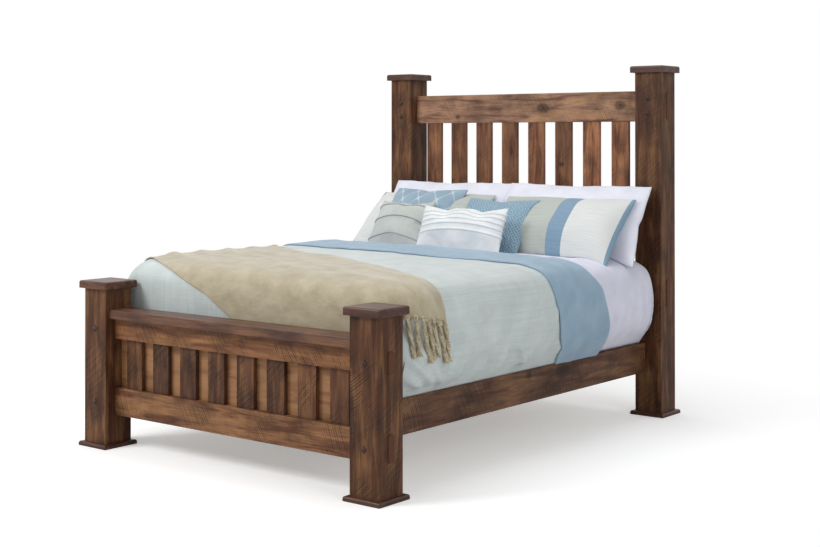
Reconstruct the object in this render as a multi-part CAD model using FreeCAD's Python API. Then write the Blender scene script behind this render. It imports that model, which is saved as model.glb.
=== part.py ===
import FreeCAD, Part
import math
import os

# A queen bed in rough-sawn timber, dressed with its bedding and eight loose pillows and cushions.
# The origin is on the floor under the middle of the frame. +X is the right side seen from the
# foot, +Y runs from the foot to the head, +Z is up. All lengths are millimetres.

Vector = FreeCAD.Vector

# Overall sizes of the timber frame, over the posts
frame_width = 1810.0
frame_length = 2421.7
head_height = 1822.0
foot_height = 775.0

# Posts, with the caps on top and the plinths they stand on
post_side = 152.4
post_edge_radius = 3.0
cap_thickness = 35.0
cap_overhang = 19.5
cap_top_radius = 9.0
cap_edge_radius = 4.0
plinth_thickness = 20.0
plinth_overhang = 20.3
plinth_top_radius = 9.0
plinth_edge_radius = 3.0

# Rails between the posts: their tenons run through the posts and stand a little proud
rail_thickness = 38.0
rail_edge_radius = 1.5
tenon_proud = 5.0
tenon_end_radius = 4.0
tenon_side_radius = 12.0
tenon_gap = 0.3
head_top_rail_drop = 129.0
head_top_rail_height = 161.0
head_bottom_rail_z = 554.5
head_bottom_rail_height = 161.0
head_tenon_shoulder = 9.0
foot_top_rail_drop = 174.0
foot_top_rail_height = 95.0
foot_bottom_rail_z = 150.0
foot_bottom_rail_height = 127.0
foot_top_tenon_shoulder = 2.0
foot_bottom_tenon_shoulder = 7.0

# Flat rail laid on the footboard, and the solid panel nailed behind its slats
cap_rail_depth = 133.4
cap_rail_thickness = 44.0
cap_rail_radius = 5.0
panel_thickness = 12.0
panel_side_gap = 0.3

# Upright slats of the two ends, housed in the rails, pitched as shares of the space between posts
slat_count = 8
slat_housing = 12.0
slat_gap = 0.3
slat_edge_radius = 1.5
head_slat_width = 105.0
head_slat_pitch_share = 0.11905
head_slat_thickness = 19.0
head_slat_recess = 3.0
foot_slat_width = 104.0
foot_slat_pitch_share = 0.12058
foot_slat_thickness = 19.0
foot_slat_recess = 15.0

# Pegs driven through posts and tenons from the foot side
peg_radius = 6.35
peg_gap = 0.2
peg_beyond_tenon = 15.0
peg_head_side = 23.0
peg_head_rim = 2.0
peg_head_height = 8.0
head_peg_spacing = 77.0

# Side rails, the cleats screwed inside them and the boards across the cleats
side_rail_recess = 94.0
side_rail_thickness = 38.0
side_rail_height = 150.0
side_rail_z = 225.0
cleat_side = 35.0
cleat_rise = 6.0
cleat_end_gap = 60.0
support_slat_count = 7
support_slat_width = 89.0
support_slat_thickness = 19.0
support_slat_side_gap = 3.0
support_slat_end_inset = 110.0
beam_width = 38.0
beam_height = 70.0
beam_end_inset = 90.0
leg_side = 45.0
leg_count = 2
leg_place_share = 0.34

# Hook fittings that hang the side rails on the posts
plate_thickness = 3.0
plate_width = 22.0
plate_height = 124.0
plate_gap = 0.3
hook_thickness = 4.0
hook_height = 20.0
hook_reach = 9.0
hook_lip_drop = 8.0
hook_lip_thickness = 4.0
hook_spacing = 60.0
hook_clearance = 1.5
hook_seat_gap = 0.4

# One size of wood screw, countersunk
screw_length = 45.0
screw_radius = 2.2
screw_head_radius = 4.2
screw_head_height = 3.0
screw_gap = 0.1
plinth_screw_spacing = 90.0
cleat_screw_count = 5
cleat_screw_inset = 95.0
slat_screw_inset = 18.0
plate_screw_spacing = 104.0

# Foundation and mattress
foundation_side_gap = 11.0
foundation_end_gap = 42.45
foundation_height = 215.0
foundation_corner_radius = 40.0
mattress_overhang = 33.0
bedding_shift = 12.0
soft_gap = 0.5

# Cross-section of the dressed mattress over its sheet, as the photograph shows it: the left
# shoulder is fuller than the right. Each point lies out from the hem, or in from it where the
# figure is negative, and rises from the tops of the side rails
hem_gap = 0.5
hem_inset = 26.0
side_out = 81.0
side_rise = 130.0
right_low_out = 95.0
right_low_rise = 275.0
right_shoulder_out = 55.0
right_shoulder_rise = 413.0
right_top_out = -65.0
right_top_rise = 459.0
crown_x = -20.0
crown_rise = 478.0
left_top_out = 5.0
left_top_rise = 479.0
left_shoulder_out = 69.0
left_shoulder_rise = 437.0
left_low_out = 93.0
left_low_rise = 293.0
sheet_thickness = 4.0
duvet_thickness = 14.0
turnback_thickness = 10.0
throw_thickness = 8.0
low_reach = 60.0

# How the section changes along the bed: place, sink of the top and swell of the sides
end_sink = 62.0
side_swell = 16.0
section_shares = (
    (0.0, 1.0, -1.6),
    (0.012, 0.55, -0.85),
    (0.035, 0.24, -0.25),
    (0.075, 0.06, 0.12),
    (0.16, 0.0, -0.12),
    (0.25, -0.04, 0.16),
    (0.36, 0.0, -0.1),
    (0.48, 0.02, 0.1),
    (0.60, 0.0, 0.2),
    (0.72, 0.02, 0.35),
    (0.82, 0.0, 0.85),
    (0.91, 0.04, 0.9),
    (0.965, 0.14, 0.8),
    (0.99, 0.34, 0.45),
    (1.0, 0.6, 0.0),
)

# Edges of the turned-back end of the duvet seen from the side, as shares of the frame's length
# and of the crown's height over the side rails
duvet_edge_shares = (
    (0.1672, 1.0983),
    (0.1858, 0.8682),
    (0.2312, 0.5962),
    (0.2457, 0.3870),
    (0.2395, 0.1778),
    (0.2312, -0.0941),
)
turnback_edge_shares = (
    (0.0103, 1.0983),
    (0.0227, 0.8054),
    (0.0351, 0.5544),
    (0.0496, 0.2824),
    (0.0847, 0.0105),
    (0.0929, -0.0941),
)

# Outline of the throw from above, as shares of the frame's width and length, its edge on the
# foot of the bed as shares of the width and of the crown's height, and its hem
throw_outline_shares = (
    (-0.5304, 0.0165),
    (-0.3536, -0.0619),
    (-0.1945, -0.1239),
    (0.0000, -0.1652),
    (0.2099, -0.2374),
    (0.3646, -0.2891),
    (0.4696, -0.3147),
    (0.5304, -0.3180),
    (0.5304, -0.4707),
    (-0.2790, -0.4707),
    (-0.2790, -0.4121),
    (-0.3425, -0.4014),
    (-0.5304, -0.3469),
)
throw_foot_edge_shares = (
    (-0.2873, 1.0983),
    (-0.2762, 1.0314),
    (-0.1685, 0.8682),
    (-0.0221, 0.5753),
    (0.0608, 0.3452),
    (-0.2873, 0.3452),
)
throw_left_hem_rise = 337.0
throw_hem_foot_rise = 353.0
throw_hem_head_rise = 298.0
throw_hem_head_share = -0.3155
throw_side_hem_inset = 25.0
throw_foot_hem_rise = 190.0
throw_foot_band = 12.0
throw_fold_height = 6.0
throw_fold_count = 6
throw_fold_steps = 6
throw_fold_first_share = 0.16
throw_fold_last_share = 0.58

# Twisted tassels along the throw's hem
tassel_count = 7
tassel_radius = 10.0
tassel_knot_radius = 12.0
tassel_tip_radius = 12.0
tassel_knot_drop = 20.0
tassel_length = 190.0
tassel_lean_deg = 14.0
tassel_rest = 0.9
tassel_first_share = -0.4220
tassel_last_share = -0.3262
tassel_length_shares = (1.0, 0.93, 1.06, 0.97, 0.88)

# Pillows: each row holds the width, the foot edge and the top edge (place along the bed, height
# over its crown), the crowns towards the foot and the head, and how far the sides draw in between
# the corners. Widths, crowns, draw and the places across are shares of the frame's width, places
# along are shares of its length, and heights of its height at the head.
sleeping_shares = (0.4751, (0.3229, 0.0027), (0.4278, 0.1905), 0.0343, 0.0320, 0.0077)
sham_shares = (0.4370, (0.2643, 0.0027), (0.3849, 0.1553), 0.0508, 0.0221, 0.0077)
lattice_shares = (0.2762, (0.2461, 0.0071), (0.3634, 0.1740), 0.0398, 0.0243, 0.0077)
weave_shares = (0.2541, (0.2420, 0.0071), (0.3357, 0.1520), 0.0387, 0.0243, 0.0077)
pleated_shares = (0.2044, (0.2250, 0.0082), (0.2891, 0.1394), 0.0343, 0.0221, 0.0066)
lumbar_shares = (0.3022, (0.1941, 0.0104), (0.2333, 0.1367), 0.0320, 0.0232, 0.0072)
sleeping_left_place_share = -0.2459
sleeping_right_place_share = 0.2348
sham_left_place_share = -0.2459
sham_right_place_share = 0.2370
lattice_place_share = -0.2486
weave_place_share = 0.0514
pleated_place_share = -0.2624
lumbar_place_share = 0.0099
pillow_seam = 5.0
pillow_station_shares = (-1.0, -0.9, -0.68, -0.36, 0.0, 0.36, 0.68, 0.9, 1.0)
stack_gap = 0.6
rest_gap = 0.4
pillow_sink = 5.0

cut_margin = 5.0
edge_tolerance = 0.05
angle_tolerance_deg = 1.0

# Places that follow from the sizes above
half_width = frame_width / 2
half_length = frame_length / 2
post_x = half_width - post_side / 2
post_y = half_length - post_side / 2
inner_x = half_width - post_side
inner_y = half_length - post_side
head_top_rail_z = head_height - head_top_rail_drop - head_top_rail_height
foot_top_rail_z = foot_height - foot_top_rail_drop - foot_top_rail_height
head_slat_pitch = head_slat_pitch_share * 2 * inner_x
foot_slat_pitch = foot_slat_pitch_share * 2 * inner_x
side_rail_top = side_rail_z + side_rail_height
side_rail_outer_x = half_width - side_rail_recess
side_rail_inner_x = side_rail_outer_x - side_rail_thickness
side_rail_x = side_rail_outer_x - side_rail_thickness / 2
cleat_z = side_rail_z + cleat_rise
support_z = cleat_z + cleat_side
foundation_z = support_z + support_slat_thickness
foundation_top = foundation_z + foundation_height
foundation_width = 2 * (side_rail_inner_x - foundation_side_gap)
foundation_length = 2 * (inner_y - foundation_end_gap)
mattress_width = foundation_width + 2 * mattress_overhang
mattress_length = foundation_length
hem_z = side_rail_top + hem_gap
hem_x = side_rail_outer_x - hem_inset
crown_z = side_rail_top + crown_rise
throw_left_hem_z = side_rail_top + throw_left_hem_rise
throw_foot_hem_z = side_rail_top + throw_foot_hem_rise
tassel_first_y = tassel_first_share * frame_length
tassel_last_y = tassel_last_share * frame_length
bedding_start = bedding_shift - mattress_length / 2 - sheet_thickness - soft_gap
bedding_end = bedding_shift + mattress_length / 2 + sheet_thickness + soft_gap


os.makedirs("parts", exist_ok=True)


def save(name, shape):
    """Write one sub-part to its own file."""
    shape.exportStep("parts/" + name + ".step")


def block(x0, x1, y0, y1, z0, z1):
    """A box between two corners."""
    return Part.makeBox(x1 - x0, y1 - y0, z1 - z0, Vector(x0, y0, z0))


def rod(start, direction, radius, length):
    """A round bar from a point along a direction."""
    return Part.makeCylinder(radius, length, start, direction)


def straight_edges(shape, axis):
    """The straight edges of a shape that run along one axis."""
    found = []
    for edge in shape.Edges:
        if len(edge.Vertexes) != 2:
            continue
        run = edge.Vertexes[1].Point - edge.Vertexes[0].Point
        if run.Length > 0 and abs(run.normalize().dot(axis)) > math.cos(math.radians(angle_tolerance_deg)):
            found.append(edge)
    return found


def level_edges(shape, z):
    """The edges of a shape that lie at one height."""
    return [edge for edge in shape.Edges if all(abs(v.Point.z - z) < edge_tolerance for v in edge.Vertexes)]


def polygon(points):
    """A closed flat outline through points."""
    return Part.Face(Part.makePolygon(list(points) + [points[0]]))


# Screws: where each one stands, and the holes they need

screw_places = []


def screw(start, direction, gap):
    """A countersunk wood screw, or with a gap the hole that it fills."""
    head = Part.makeCone(screw_head_radius + gap, screw_radius + gap, screw_head_height, start, direction)
    shank = rod(start, direction, screw_radius + gap, screw_length + gap)
    return head.fuse(shank).removeSplitter()


def drill(shape, places):
    """Take the holes of the screws at some places out of a piece."""
    holes = [screw(start, direction, screw_gap) for start, direction in places]
    return shape.cut(holes)


# Rails of the two ends: each is (name, end of the bed, underside, height, shoulder, heights of pegs)

head_peg_offsets = (-head_peg_spacing / 2, head_peg_spacing / 2)


def rail_row(name, side, z, height, shoulder, offsets):
    """One rail of an end with its tenon and peg heights."""
    middle = z + height / 2
    return {
        "name": name,
        "side": side,
        "z": z,
        "height": height,
        "tenon_z": z + shoulder,
        "tenon_height": height - 2 * shoulder,
        "pegs": [middle + offset for offset in offsets],
    }


end_rails = (
    rail_row("headboard_top_rail", 1, head_top_rail_z, head_top_rail_height,
             head_tenon_shoulder, head_peg_offsets),
    rail_row("headboard_bottom_rail", 1, head_bottom_rail_z, head_bottom_rail_height,
             head_tenon_shoulder, head_peg_offsets),
    rail_row("footboard_top_rail", -1, foot_top_rail_z, foot_top_rail_height,
             foot_top_tenon_shoulder, (0,)),
    rail_row("footboard_bottom_rail", -1, foot_bottom_rail_z, foot_bottom_rail_height,
             foot_bottom_tenon_shoulder, (0,)),
)


def tenon_bar(row, reach, gap):
    """The bar of a rail's two tenons, round at its top and bottom, or its mortise with a gap."""
    y = row["side"] * post_y
    bar = block(-reach, reach, y - rail_thickness / 2 - gap, y + rail_thickness / 2 + gap,
                row["tenon_z"] - gap, row["tenon_z"] + row["tenon_height"] + gap)
    return bar.makeFillet(tenon_side_radius, straight_edges(bar, Vector(1, 0, 0)))


def peg_places(row):
    """The points on the posts' foot-side faces where a rail's pegs go in."""
    face_y = row["side"] * post_y - post_side / 2
    return [Vector(sx * post_x, face_y, z) for sx in (-1, 1) for z in row["pegs"]]


peg_length = post_side / 2 + rail_thickness / 2 + peg_beyond_tenon


def peg_bore(place):
    """The round hole for one peg."""
    return rod(place - Vector(0, cut_margin, 0), Vector(0, 1, 0), peg_radius + peg_gap,
               peg_length + cut_margin + peg_gap)


def peg(place):
    """A round peg with a low pyramid head, set as a diamond."""
    shank = rod(place, Vector(0, 1, 0), peg_radius, peg_length)
    half = peg_head_side / 2
    rim = block(-half, half, -peg_head_rim, 0, -half, half)
    signs = ((-1, -1), (1, -1), (1, 1), (-1, 1))
    corners = [Vector(x * half, -peg_head_rim, z * half) for x, z in signs]
    tip = Vector(0, -peg_head_height, 0)
    faces = [polygon(corners)]
    for i in range(len(corners)):
        faces.append(polygon([corners[i], corners[(i + 1) % len(corners)], tip]))
    point = Part.makeSolid(Part.makeShell(faces))
    if point.Volume < 0:
        point.reverse()
    head = rim.fuse(point).removeSplitter()
    head.rotate(Vector(0, 0, 0), Vector(0, 1, 0), 45)
    head.translate(place)
    return shank.fuse(head).removeSplitter()


# Hook fittings, worked out at the right foot corner with the rail's end at y = 0 and the post
# beyond it towards -y, then turned to each corner

hook_heights = (side_rail_z + side_rail_height / 2 - hook_spacing / 2,
                side_rail_z + side_rail_height / 2 + hook_spacing / 2)
plate_z = side_rail_z + (side_rail_height - plate_height) / 2


def to_corner(shape, sx, sy):
    """Carry a shape made about the rail's end to one of the four corners."""
    moved = shape.copy()
    if sy > 0:
        moved = moved.mirror(Vector(0, 0, 0), Vector(0, 1, 0))
    moved.translate(Vector(sx * side_rail_x, sy * inner_y, 0))
    return moved


def rail_hook():
    """The plate let into a rail's end, with two hooks that drop into the post."""
    half = plate_width / 2
    shape = block(-half, half, 0, plate_thickness, plate_z, plate_z + plate_height)
    back = -plate_thickness - hook_seat_gap - hook_lip_thickness
    for z in hook_heights:
        low = z - hook_height / 2
        arm = block(-hook_thickness / 2, hook_thickness / 2, back, 0, low, low + hook_height)
        lip = block(-hook_thickness / 2, hook_thickness / 2, back, back + hook_lip_thickness,
                    low - hook_lip_drop, low)
        shape = shape.fuse([arm, lip])
    return shape.removeSplitter()


def post_plate():
    """The slotted plate let into the post, that the hooks hang in."""
    half = plate_width / 2
    shape = block(-half, half, -plate_thickness, 0, plate_z, plate_z + plate_height)
    slot_half = hook_thickness / 2 + hook_clearance
    for z in hook_heights:
        low = z - hook_height / 2
        slot = block(-slot_half, slot_half, -plate_thickness - cut_margin, cut_margin,
                     low, low + hook_height + hook_lip_drop + hook_clearance)
        shape = shape.cut(slot)
    return shape


def rail_plate_recess():
    """The shallow recess in a rail's end."""
    half = plate_width / 2 + plate_gap
    return block(-half, half, -cut_margin, plate_thickness, plate_z - plate_gap,
                 plate_z + plate_height + plate_gap)


def post_plate_recess():
    """The recess in a post for its plate, with the deep slots behind for the hooks."""
    half = plate_width / 2 + plate_gap
    shape = block(-half, half, -plate_thickness, cut_margin, plate_z - plate_gap,
                  plate_z + plate_height + plate_gap)
    slot_half = hook_thickness / 2 + hook_clearance
    for z in hook_heights:
        low = z - hook_height / 2
        pocket = block(-slot_half, slot_half, -plate_thickness - hook_reach, 0,
                       low - hook_lip_drop - hook_clearance,
                       low + hook_height + hook_lip_drop + hook_clearance)
        shape = shape.fuse(pocket)
    return shape


plate_screw_heights = (side_rail_z + (side_rail_height - plate_screw_spacing) / 2,
                       side_rail_z + (side_rail_height + plate_screw_spacing) / 2)


def plate_screws(sx, sy, into_post):
    """Where the screws of one corner's two plates go in."""
    direction = Vector(0, sy, 0) if into_post else Vector(0, -sy, 0)
    y = sy * inner_y
    return [(Vector(sx * side_rail_x, y, z), direction) for z in plate_screw_heights]


def plinth_screws(sx, sy):
    """Where the screws go up through one plinth."""
    half = plinth_screw_spacing / 2
    return [(Vector(sx * post_x + dx, sy * post_y + dy, 0), Vector(0, 0, 1))
            for dx in (-half, half) for dy in (-half, half)]


# Posts with their caps and plinths

corner_names = {(-1, 1): "head_post_left", (1, 1): "head_post_right",
                (-1, -1): "foot_post_left", (1, -1): "foot_post_right"}


def make_post(sx, sy):
    """A square post with its mortises, peg bores and hook recess."""
    height = head_height if sy > 0 else foot_height
    half = post_side / 2
    x = sx * post_x
    y = sy * post_y
    post = block(x - half, x + half, y - half, y + half, plinth_thickness, height - cap_thickness)
    post = post.makeFillet(post_edge_radius, straight_edges(post, Vector(0, 0, 1)))
    cuts = [to_corner(post_plate_recess(), sx, sy)]
    for row in end_rails:
        if row["side"] == sy:
            cuts.append(tenon_bar(row, half_width + cut_margin, tenon_gap))
            cuts += [peg_bore(place) for place in peg_places(row) if place.x * sx > 0]
    post = post.cut(cuts)
    return drill(post, plate_screws(sx, sy, True) + plinth_screws(sx, sy))


def make_cap(sx, sy):
    """The square cap on a post, rounded along its top."""
    height = head_height if sy > 0 else foot_height
    half = post_side / 2 + cap_overhang
    x = sx * post_x
    y = sy * post_y
    cap = block(x - half, x + half, y - half, y + half, height - cap_thickness, height)
    cap = cap.makeFillet(cap_edge_radius, straight_edges(cap, Vector(0, 0, 1)))
    return cap.makeFillet(cap_top_radius, level_edges(cap, height))


def make_plinth(sx, sy):
    """The square plinth under a post, rounded along its top."""
    half = post_side / 2 + plinth_overhang
    x = sx * post_x
    y = sy * post_y
    plinth = block(x - half, x + half, y - half, y + half, 0, plinth_thickness)
    plinth = plinth.makeFillet(plinth_edge_radius, straight_edges(plinth, Vector(0, 0, 1)))
    plinth = plinth.makeFillet(plinth_top_radius, level_edges(plinth, plinth_thickness))
    return drill(plinth, plinth_screws(sx, sy))


for (sx, sy), name in corner_names.items():
    save(name, make_post(sx, sy))
    save(name + "_cap", make_cap(sx, sy))
    save(name + "_plinth", make_plinth(sx, sy))
    screw_places += plate_screws(sx, sy, True) + plate_screws(sx, sy, False) + plinth_screws(sx, sy)


# Slats of the two ends

def slat_block(side, index, gap):
    """One upright slat, or with a gap the room that it takes in the rails."""
    if side > 0:
        width, pitch = head_slat_width, head_slat_pitch
        thickness, recess = head_slat_thickness, head_slat_recess
        low = head_bottom_rail_z + head_bottom_rail_height
        high = head_top_rail_z
    else:
        width, pitch = foot_slat_width, foot_slat_pitch
        thickness, recess = foot_slat_thickness, foot_slat_recess
        low = foot_bottom_rail_z + foot_bottom_rail_height
        high = foot_top_rail_z
    x = (index - (slat_count - 1) / 2) * pitch
    front = side * post_y - rail_thickness / 2 + recess
    slat = block(x - width / 2 - gap, x + width / 2 + gap, front - gap, front + thickness + gap,
                 low - slat_housing, high + slat_housing)
    if gap:
        return slat
    return slat.makeFillet(slat_edge_radius, straight_edges(slat, Vector(0, 0, 1)))


for side, prefix in ((1, "headboard_slat_"), (-1, "footboard_slat_")):
    for index in range(slat_count):
        save(prefix + str(index + 1), slat_block(side, index, 0))


# Rails of the two ends

def make_end_rail(row):
    """A rail with its through tenons, slat housings and peg bores."""
    y = row["side"] * post_y
    body = block(-inner_x, inner_x, y - rail_thickness / 2, y + rail_thickness / 2,
                 row["z"], row["z"] + row["height"])
    body = body.makeFillet(rail_edge_radius, straight_edges(body, Vector(1, 0, 0)))
    reach = half_width + tenon_proud
    bar = tenon_bar(row, reach, 0)
    ends = [edge for edge in bar.Edges
            if all(abs(abs(v.Point.x) - reach) < edge_tolerance for v in edge.Vertexes)]
    bar = bar.makeFillet(tenon_end_radius, ends)
    rail = body.fuse(bar).removeSplitter()
    cuts = [slat_block(row["side"], index, slat_gap) for index in range(slat_count)]
    cuts += [peg_bore(place) for place in peg_places(row)]
    return rail.cut(cuts)


for row in end_rails:
    save(row["name"], make_end_rail(row))

save("tenon_pegs", Part.makeCompound([peg(place) for row in end_rails for place in peg_places(row)]))


# Footboard cap rail and panel

cap_rail_z = foot_top_rail_z + foot_top_rail_height
cap_rail = block(-inner_x, inner_x, -inner_y - cap_rail_depth, -inner_y, cap_rail_z,
                 cap_rail_z + cap_rail_thickness)
cap_rail = cap_rail.makeFillet(cap_rail_radius, straight_edges(cap_rail, Vector(1, 0, 0)))
save("footboard_cap_rail", cap_rail)

panel_y = -post_y + rail_thickness / 2
save("footboard_panel", block(-inner_x + panel_side_gap, inner_x - panel_side_gap, panel_y,
                              panel_y + panel_thickness, foot_bottom_rail_z, cap_rail_z))


# Side rails with their cleats, and the supports across them

def cleat_screws(sx):
    """Where the screws go through one cleat into its rail."""
    run = inner_y - cleat_end_gap - cleat_screw_inset
    step = 2 * run / (cleat_screw_count - 1)
    x = sx * (side_rail_inner_x - cleat_side)
    z = cleat_z + cleat_side / 2
    return [(Vector(x, -run + i * step, z), Vector(sx, 0, 0)) for i in range(cleat_screw_count)]


slat_half_run = inner_y - support_slat_end_inset
slat_step = 2 * slat_half_run / (support_slat_count - 1)
support_slat_ys = [-slat_half_run + i * slat_step for i in range(support_slat_count)]


def slat_screws(sx):
    """Where the screws go down through the boards into one cleat."""
    x = sx * (side_rail_inner_x - slat_screw_inset)
    offset = support_slat_width / 4
    return [(Vector(x, y + offset, foundation_z), Vector(0, 0, -1)) for y in support_slat_ys]


def make_side_rail(sx):
    """A side rail with the recesses for its hook plates."""
    x = sx * side_rail_x
    half = side_rail_thickness / 2
    rail = block(x - half, x + half, -inner_y, inner_y, side_rail_z, side_rail_top)
    rail = rail.makeFillet(rail_edge_radius, straight_edges(rail, Vector(0, 1, 0)))
    rail = rail.cut([to_corner(rail_plate_recess(), sx, sy) for sy in (-1, 1)])
    screws = cleat_screws(sx) + plate_screws(sx, -1, False) + plate_screws(sx, 1, False)
    return drill(rail, screws)


def make_cleat(sx):
    """The square cleat screwed along the foot of a side rail."""
    inner = side_rail_inner_x - cleat_side
    run = inner_y - cleat_end_gap
    low, high = sorted((sx * inner, sx * side_rail_inner_x))
    cleat = block(low, high, -run, run, cleat_z, support_z)
    return drill(cleat, cleat_screws(sx) + slat_screws(sx))


for sx, side_name in ((-1, "left"), (1, "right")):
    save("side_rail_" + side_name, make_side_rail(sx))
    save("cleat_" + side_name, make_cleat(sx))
    screw_places += cleat_screws(sx) + slat_screws(sx)

support_reach = side_rail_inner_x - support_slat_side_gap
support_slats = []
for y in support_slat_ys:
    board = block(-support_reach, support_reach, y - support_slat_width / 2, y + support_slat_width / 2,
                  support_z, foundation_z)
    near = [place for place in slat_screws(-1) + slat_screws(1)
            if abs(place[0].y - y) < support_slat_width / 2]
    support_slats.append(drill(board, near))
save("support_slats", Part.makeCompound(support_slats))

beam_reach = inner_y - beam_end_inset
beam_z = support_z - beam_height
save("centre_beam", block(-beam_width / 2, beam_width / 2, -beam_reach, beam_reach, beam_z, support_z))

leg_run = beam_reach * leg_place_share
leg_step = 2 * leg_run / (leg_count - 1)
save("centre_legs", Part.makeCompound([
    block(-leg_side / 2, leg_side / 2, -leg_run + i * leg_step - leg_side / 2,
          -leg_run + i * leg_step + leg_side / 2, 0, beam_z)
    for i in range(leg_count)]))


# Hook fittings and screws

hooks = []
plates = []
for sx, sy in corner_names:
    hooks.append(drill(to_corner(rail_hook(), sx, sy), plate_screws(sx, sy, False)))
    plates.append(drill(to_corner(post_plate(), sx, sy), plate_screws(sx, sy, True)))
save("rail_hooks", Part.makeCompound(hooks))
save("post_hook_plates", Part.makeCompound(plates))
save("wood_screws", Part.makeCompound([screw(start, direction, 0) for start, direction in screw_places]))


# Foundation, a firm box that drops between the side rails

foundation = block(-foundation_width / 2, foundation_width / 2, bedding_shift - foundation_length / 2,
                   bedding_shift + foundation_length / 2, foundation_z, foundation_top)
foundation = foundation.makeFillet(foundation_corner_radius, straight_edges(foundation, Vector(0, 0, 1)))
save("foundation", foundation)


# Mattress, sheet, duvet and throw: one cross-section, grown layer by layer

def arc(a, b, c):
    """An arc through three points."""
    return Part.Arc(a, b, c).toShape()


def side_point(side, y, out, rise):
    """A point of the cross-section, out from the hem on one side and over the side rails."""
    return Vector(side * (hem_x + out), y, side_rail_top + rise)


def bed_section(y, grow, sink, swell, bottom):
    """The closed cross-section of the dressed mattress at one place along the bed."""
    half_grow = grow * math.sqrt(0.5)
    full = grow + swell
    hem_right = side_point(1, y, grow, hem_gap)
    side_right = side_point(1, y, side_out + full, side_rise)
    low_right = side_point(1, y, right_low_out + full, right_low_rise - sink / 2)
    shoulder_right = side_point(1, y, right_shoulder_out + half_grow + swell,
                                right_shoulder_rise + half_grow - sink)
    top_right = side_point(1, y, right_top_out + swell, right_top_rise + grow - sink)
    crown = Vector(crown_x, y, crown_z + grow - sink)
    top_left = side_point(-1, y, left_top_out + swell, left_top_rise + grow - sink)
    shoulder_left = side_point(-1, y, left_shoulder_out + half_grow + swell,
                               left_shoulder_rise + half_grow - sink)
    low_left = side_point(-1, y, left_low_out + full, left_low_rise - sink / 2)
    side_left = side_point(-1, y, side_out + full, side_rise)
    hem_left = side_point(-1, y, grow, hem_gap)
    edges = [
        arc(hem_right, side_right, low_right),
        arc(low_right, shoulder_right, top_right),
        arc(top_right, crown, top_left),
        arc(top_left, shoulder_left, low_left),
        arc(low_left, side_left, hem_left),
    ]
    if bottom < hem_z:
        drop_left = Vector(hem_left.x, y, bottom)
        drop_right = Vector(hem_right.x, y, bottom)
        edges.append(Part.makeLine(hem_left, drop_left))
        edges.append(Part.makeLine(drop_left, drop_right))
        edges.append(Part.makeLine(drop_right, hem_right))
    else:
        edges.append(Part.makeLine(hem_left, hem_right))
    return Part.Wire(edges)


def bed_form(grow, bottom):
    """The dressed mattress as one solid, larger all round by a distance."""
    rows = [row + (0,) for row in section_shares]
    return Part.makeLoft(bed_sections(rows, grow, bottom), True, False)


def bed_sections(rows, grow, bottom):
    """Cross-sections along the bed, each row its place, sink, swell and extra height."""
    length = bedding_end - bedding_start
    wires = []
    for place, sink, swell, rise in rows:
        y = bedding_start + place * length + (2 * place - 1) * grow
        wires.append(bed_section(y, grow + rise, sink * end_sink, swell * side_swell, bottom))
    return wires


def folded_rows():
    """The rows of the throw: level at the foot, then rising and falling in long soft folds."""
    rows = [row + (0,) for row in section_shares]
    before = [row for row in rows if row[0] < throw_fold_first_share]
    after = [row for row in rows if row[0] > throw_fold_last_share]
    folds = []
    steps = throw_fold_count * throw_fold_steps
    for i in range(steps + 1):
        place = throw_fold_first_share + (throw_fold_last_share - throw_fold_first_share) * i / steps
        low, high = [pair for pair in zip(rows, rows[1:]) if pair[0][0] <= place <= pair[1][0]][0]
        mix = (place - low[0]) / (high[0] - low[0])
        sink = low[1] + mix * (high[1] - low[1])
        swell = low[2] + mix * (high[2] - low[2])
        rise = throw_fold_height * (1 - math.cos(2 * math.pi * i / throw_fold_steps)) / 2
        folds.append((place, sink, swell, rise))
    return before + folds + after


def side_slab(shares):
    """A slab right across the bed whose side view is an outline."""
    face = polygon([Vector(-frame_width, y * frame_length, side_rail_top + z * crown_rise)
                    for y, z in shares])
    return face.extrude(Vector(2 * frame_width, 0, 0))


def hem_height(y):
    """Height of the throw's hem on the right side, which slants down towards the head."""
    share = (y - bedding_start) / (throw_hem_head_share * frame_length - bedding_start)
    return side_rail_top + throw_hem_foot_rise + share * (throw_hem_head_rise - throw_hem_foot_rise)


def largest(shape):
    """The largest solid of a shape."""
    return max(shape.Solids, key=lambda solid: solid.Volume)


sheet_form = bed_form(0, hem_z)
sheet_core = bed_form(-sheet_thickness, hem_z - low_reach)
save("fitted_sheet", largest(sheet_form.cut(sheet_core)))

mattress_room = block(-mattress_width / 2, mattress_width / 2, bedding_shift - mattress_length / 2,
                      bedding_shift + mattress_length / 2, foundation_top + soft_gap, head_height)
mattress_form = bed_form(-sheet_thickness - soft_gap, hem_z)
save("mattress", largest(mattress_form.common(mattress_room)))

duvet_inner = soft_gap
duvet_outer = duvet_inner + duvet_thickness
duvet_side = [(-1, duvet_edge_shares[0][1])] + list(duvet_edge_shares) + [(-1, duvet_edge_shares[-1][1])]
duvet_form = bed_form(duvet_outer, hem_z)
duvet_core = bed_form(duvet_inner, hem_z - low_reach)
duvet = largest(duvet_form.common(side_slab(duvet_side)).cut(duvet_core))
save("duvet", duvet)

turnback_inner = duvet_outer + soft_gap
turnback_outer = turnback_inner + turnback_thickness
turnback_side = list(turnback_edge_shares) + list(reversed(duvet_edge_shares))
turnback_form = bed_form(turnback_outer, hem_z)
turnback_core = bed_form(turnback_inner, hem_z - low_reach)
turnback = turnback_form.common(side_slab(turnback_side)).cut(turnback_core)
save("duvet_turnback", largest(turnback))

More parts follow.
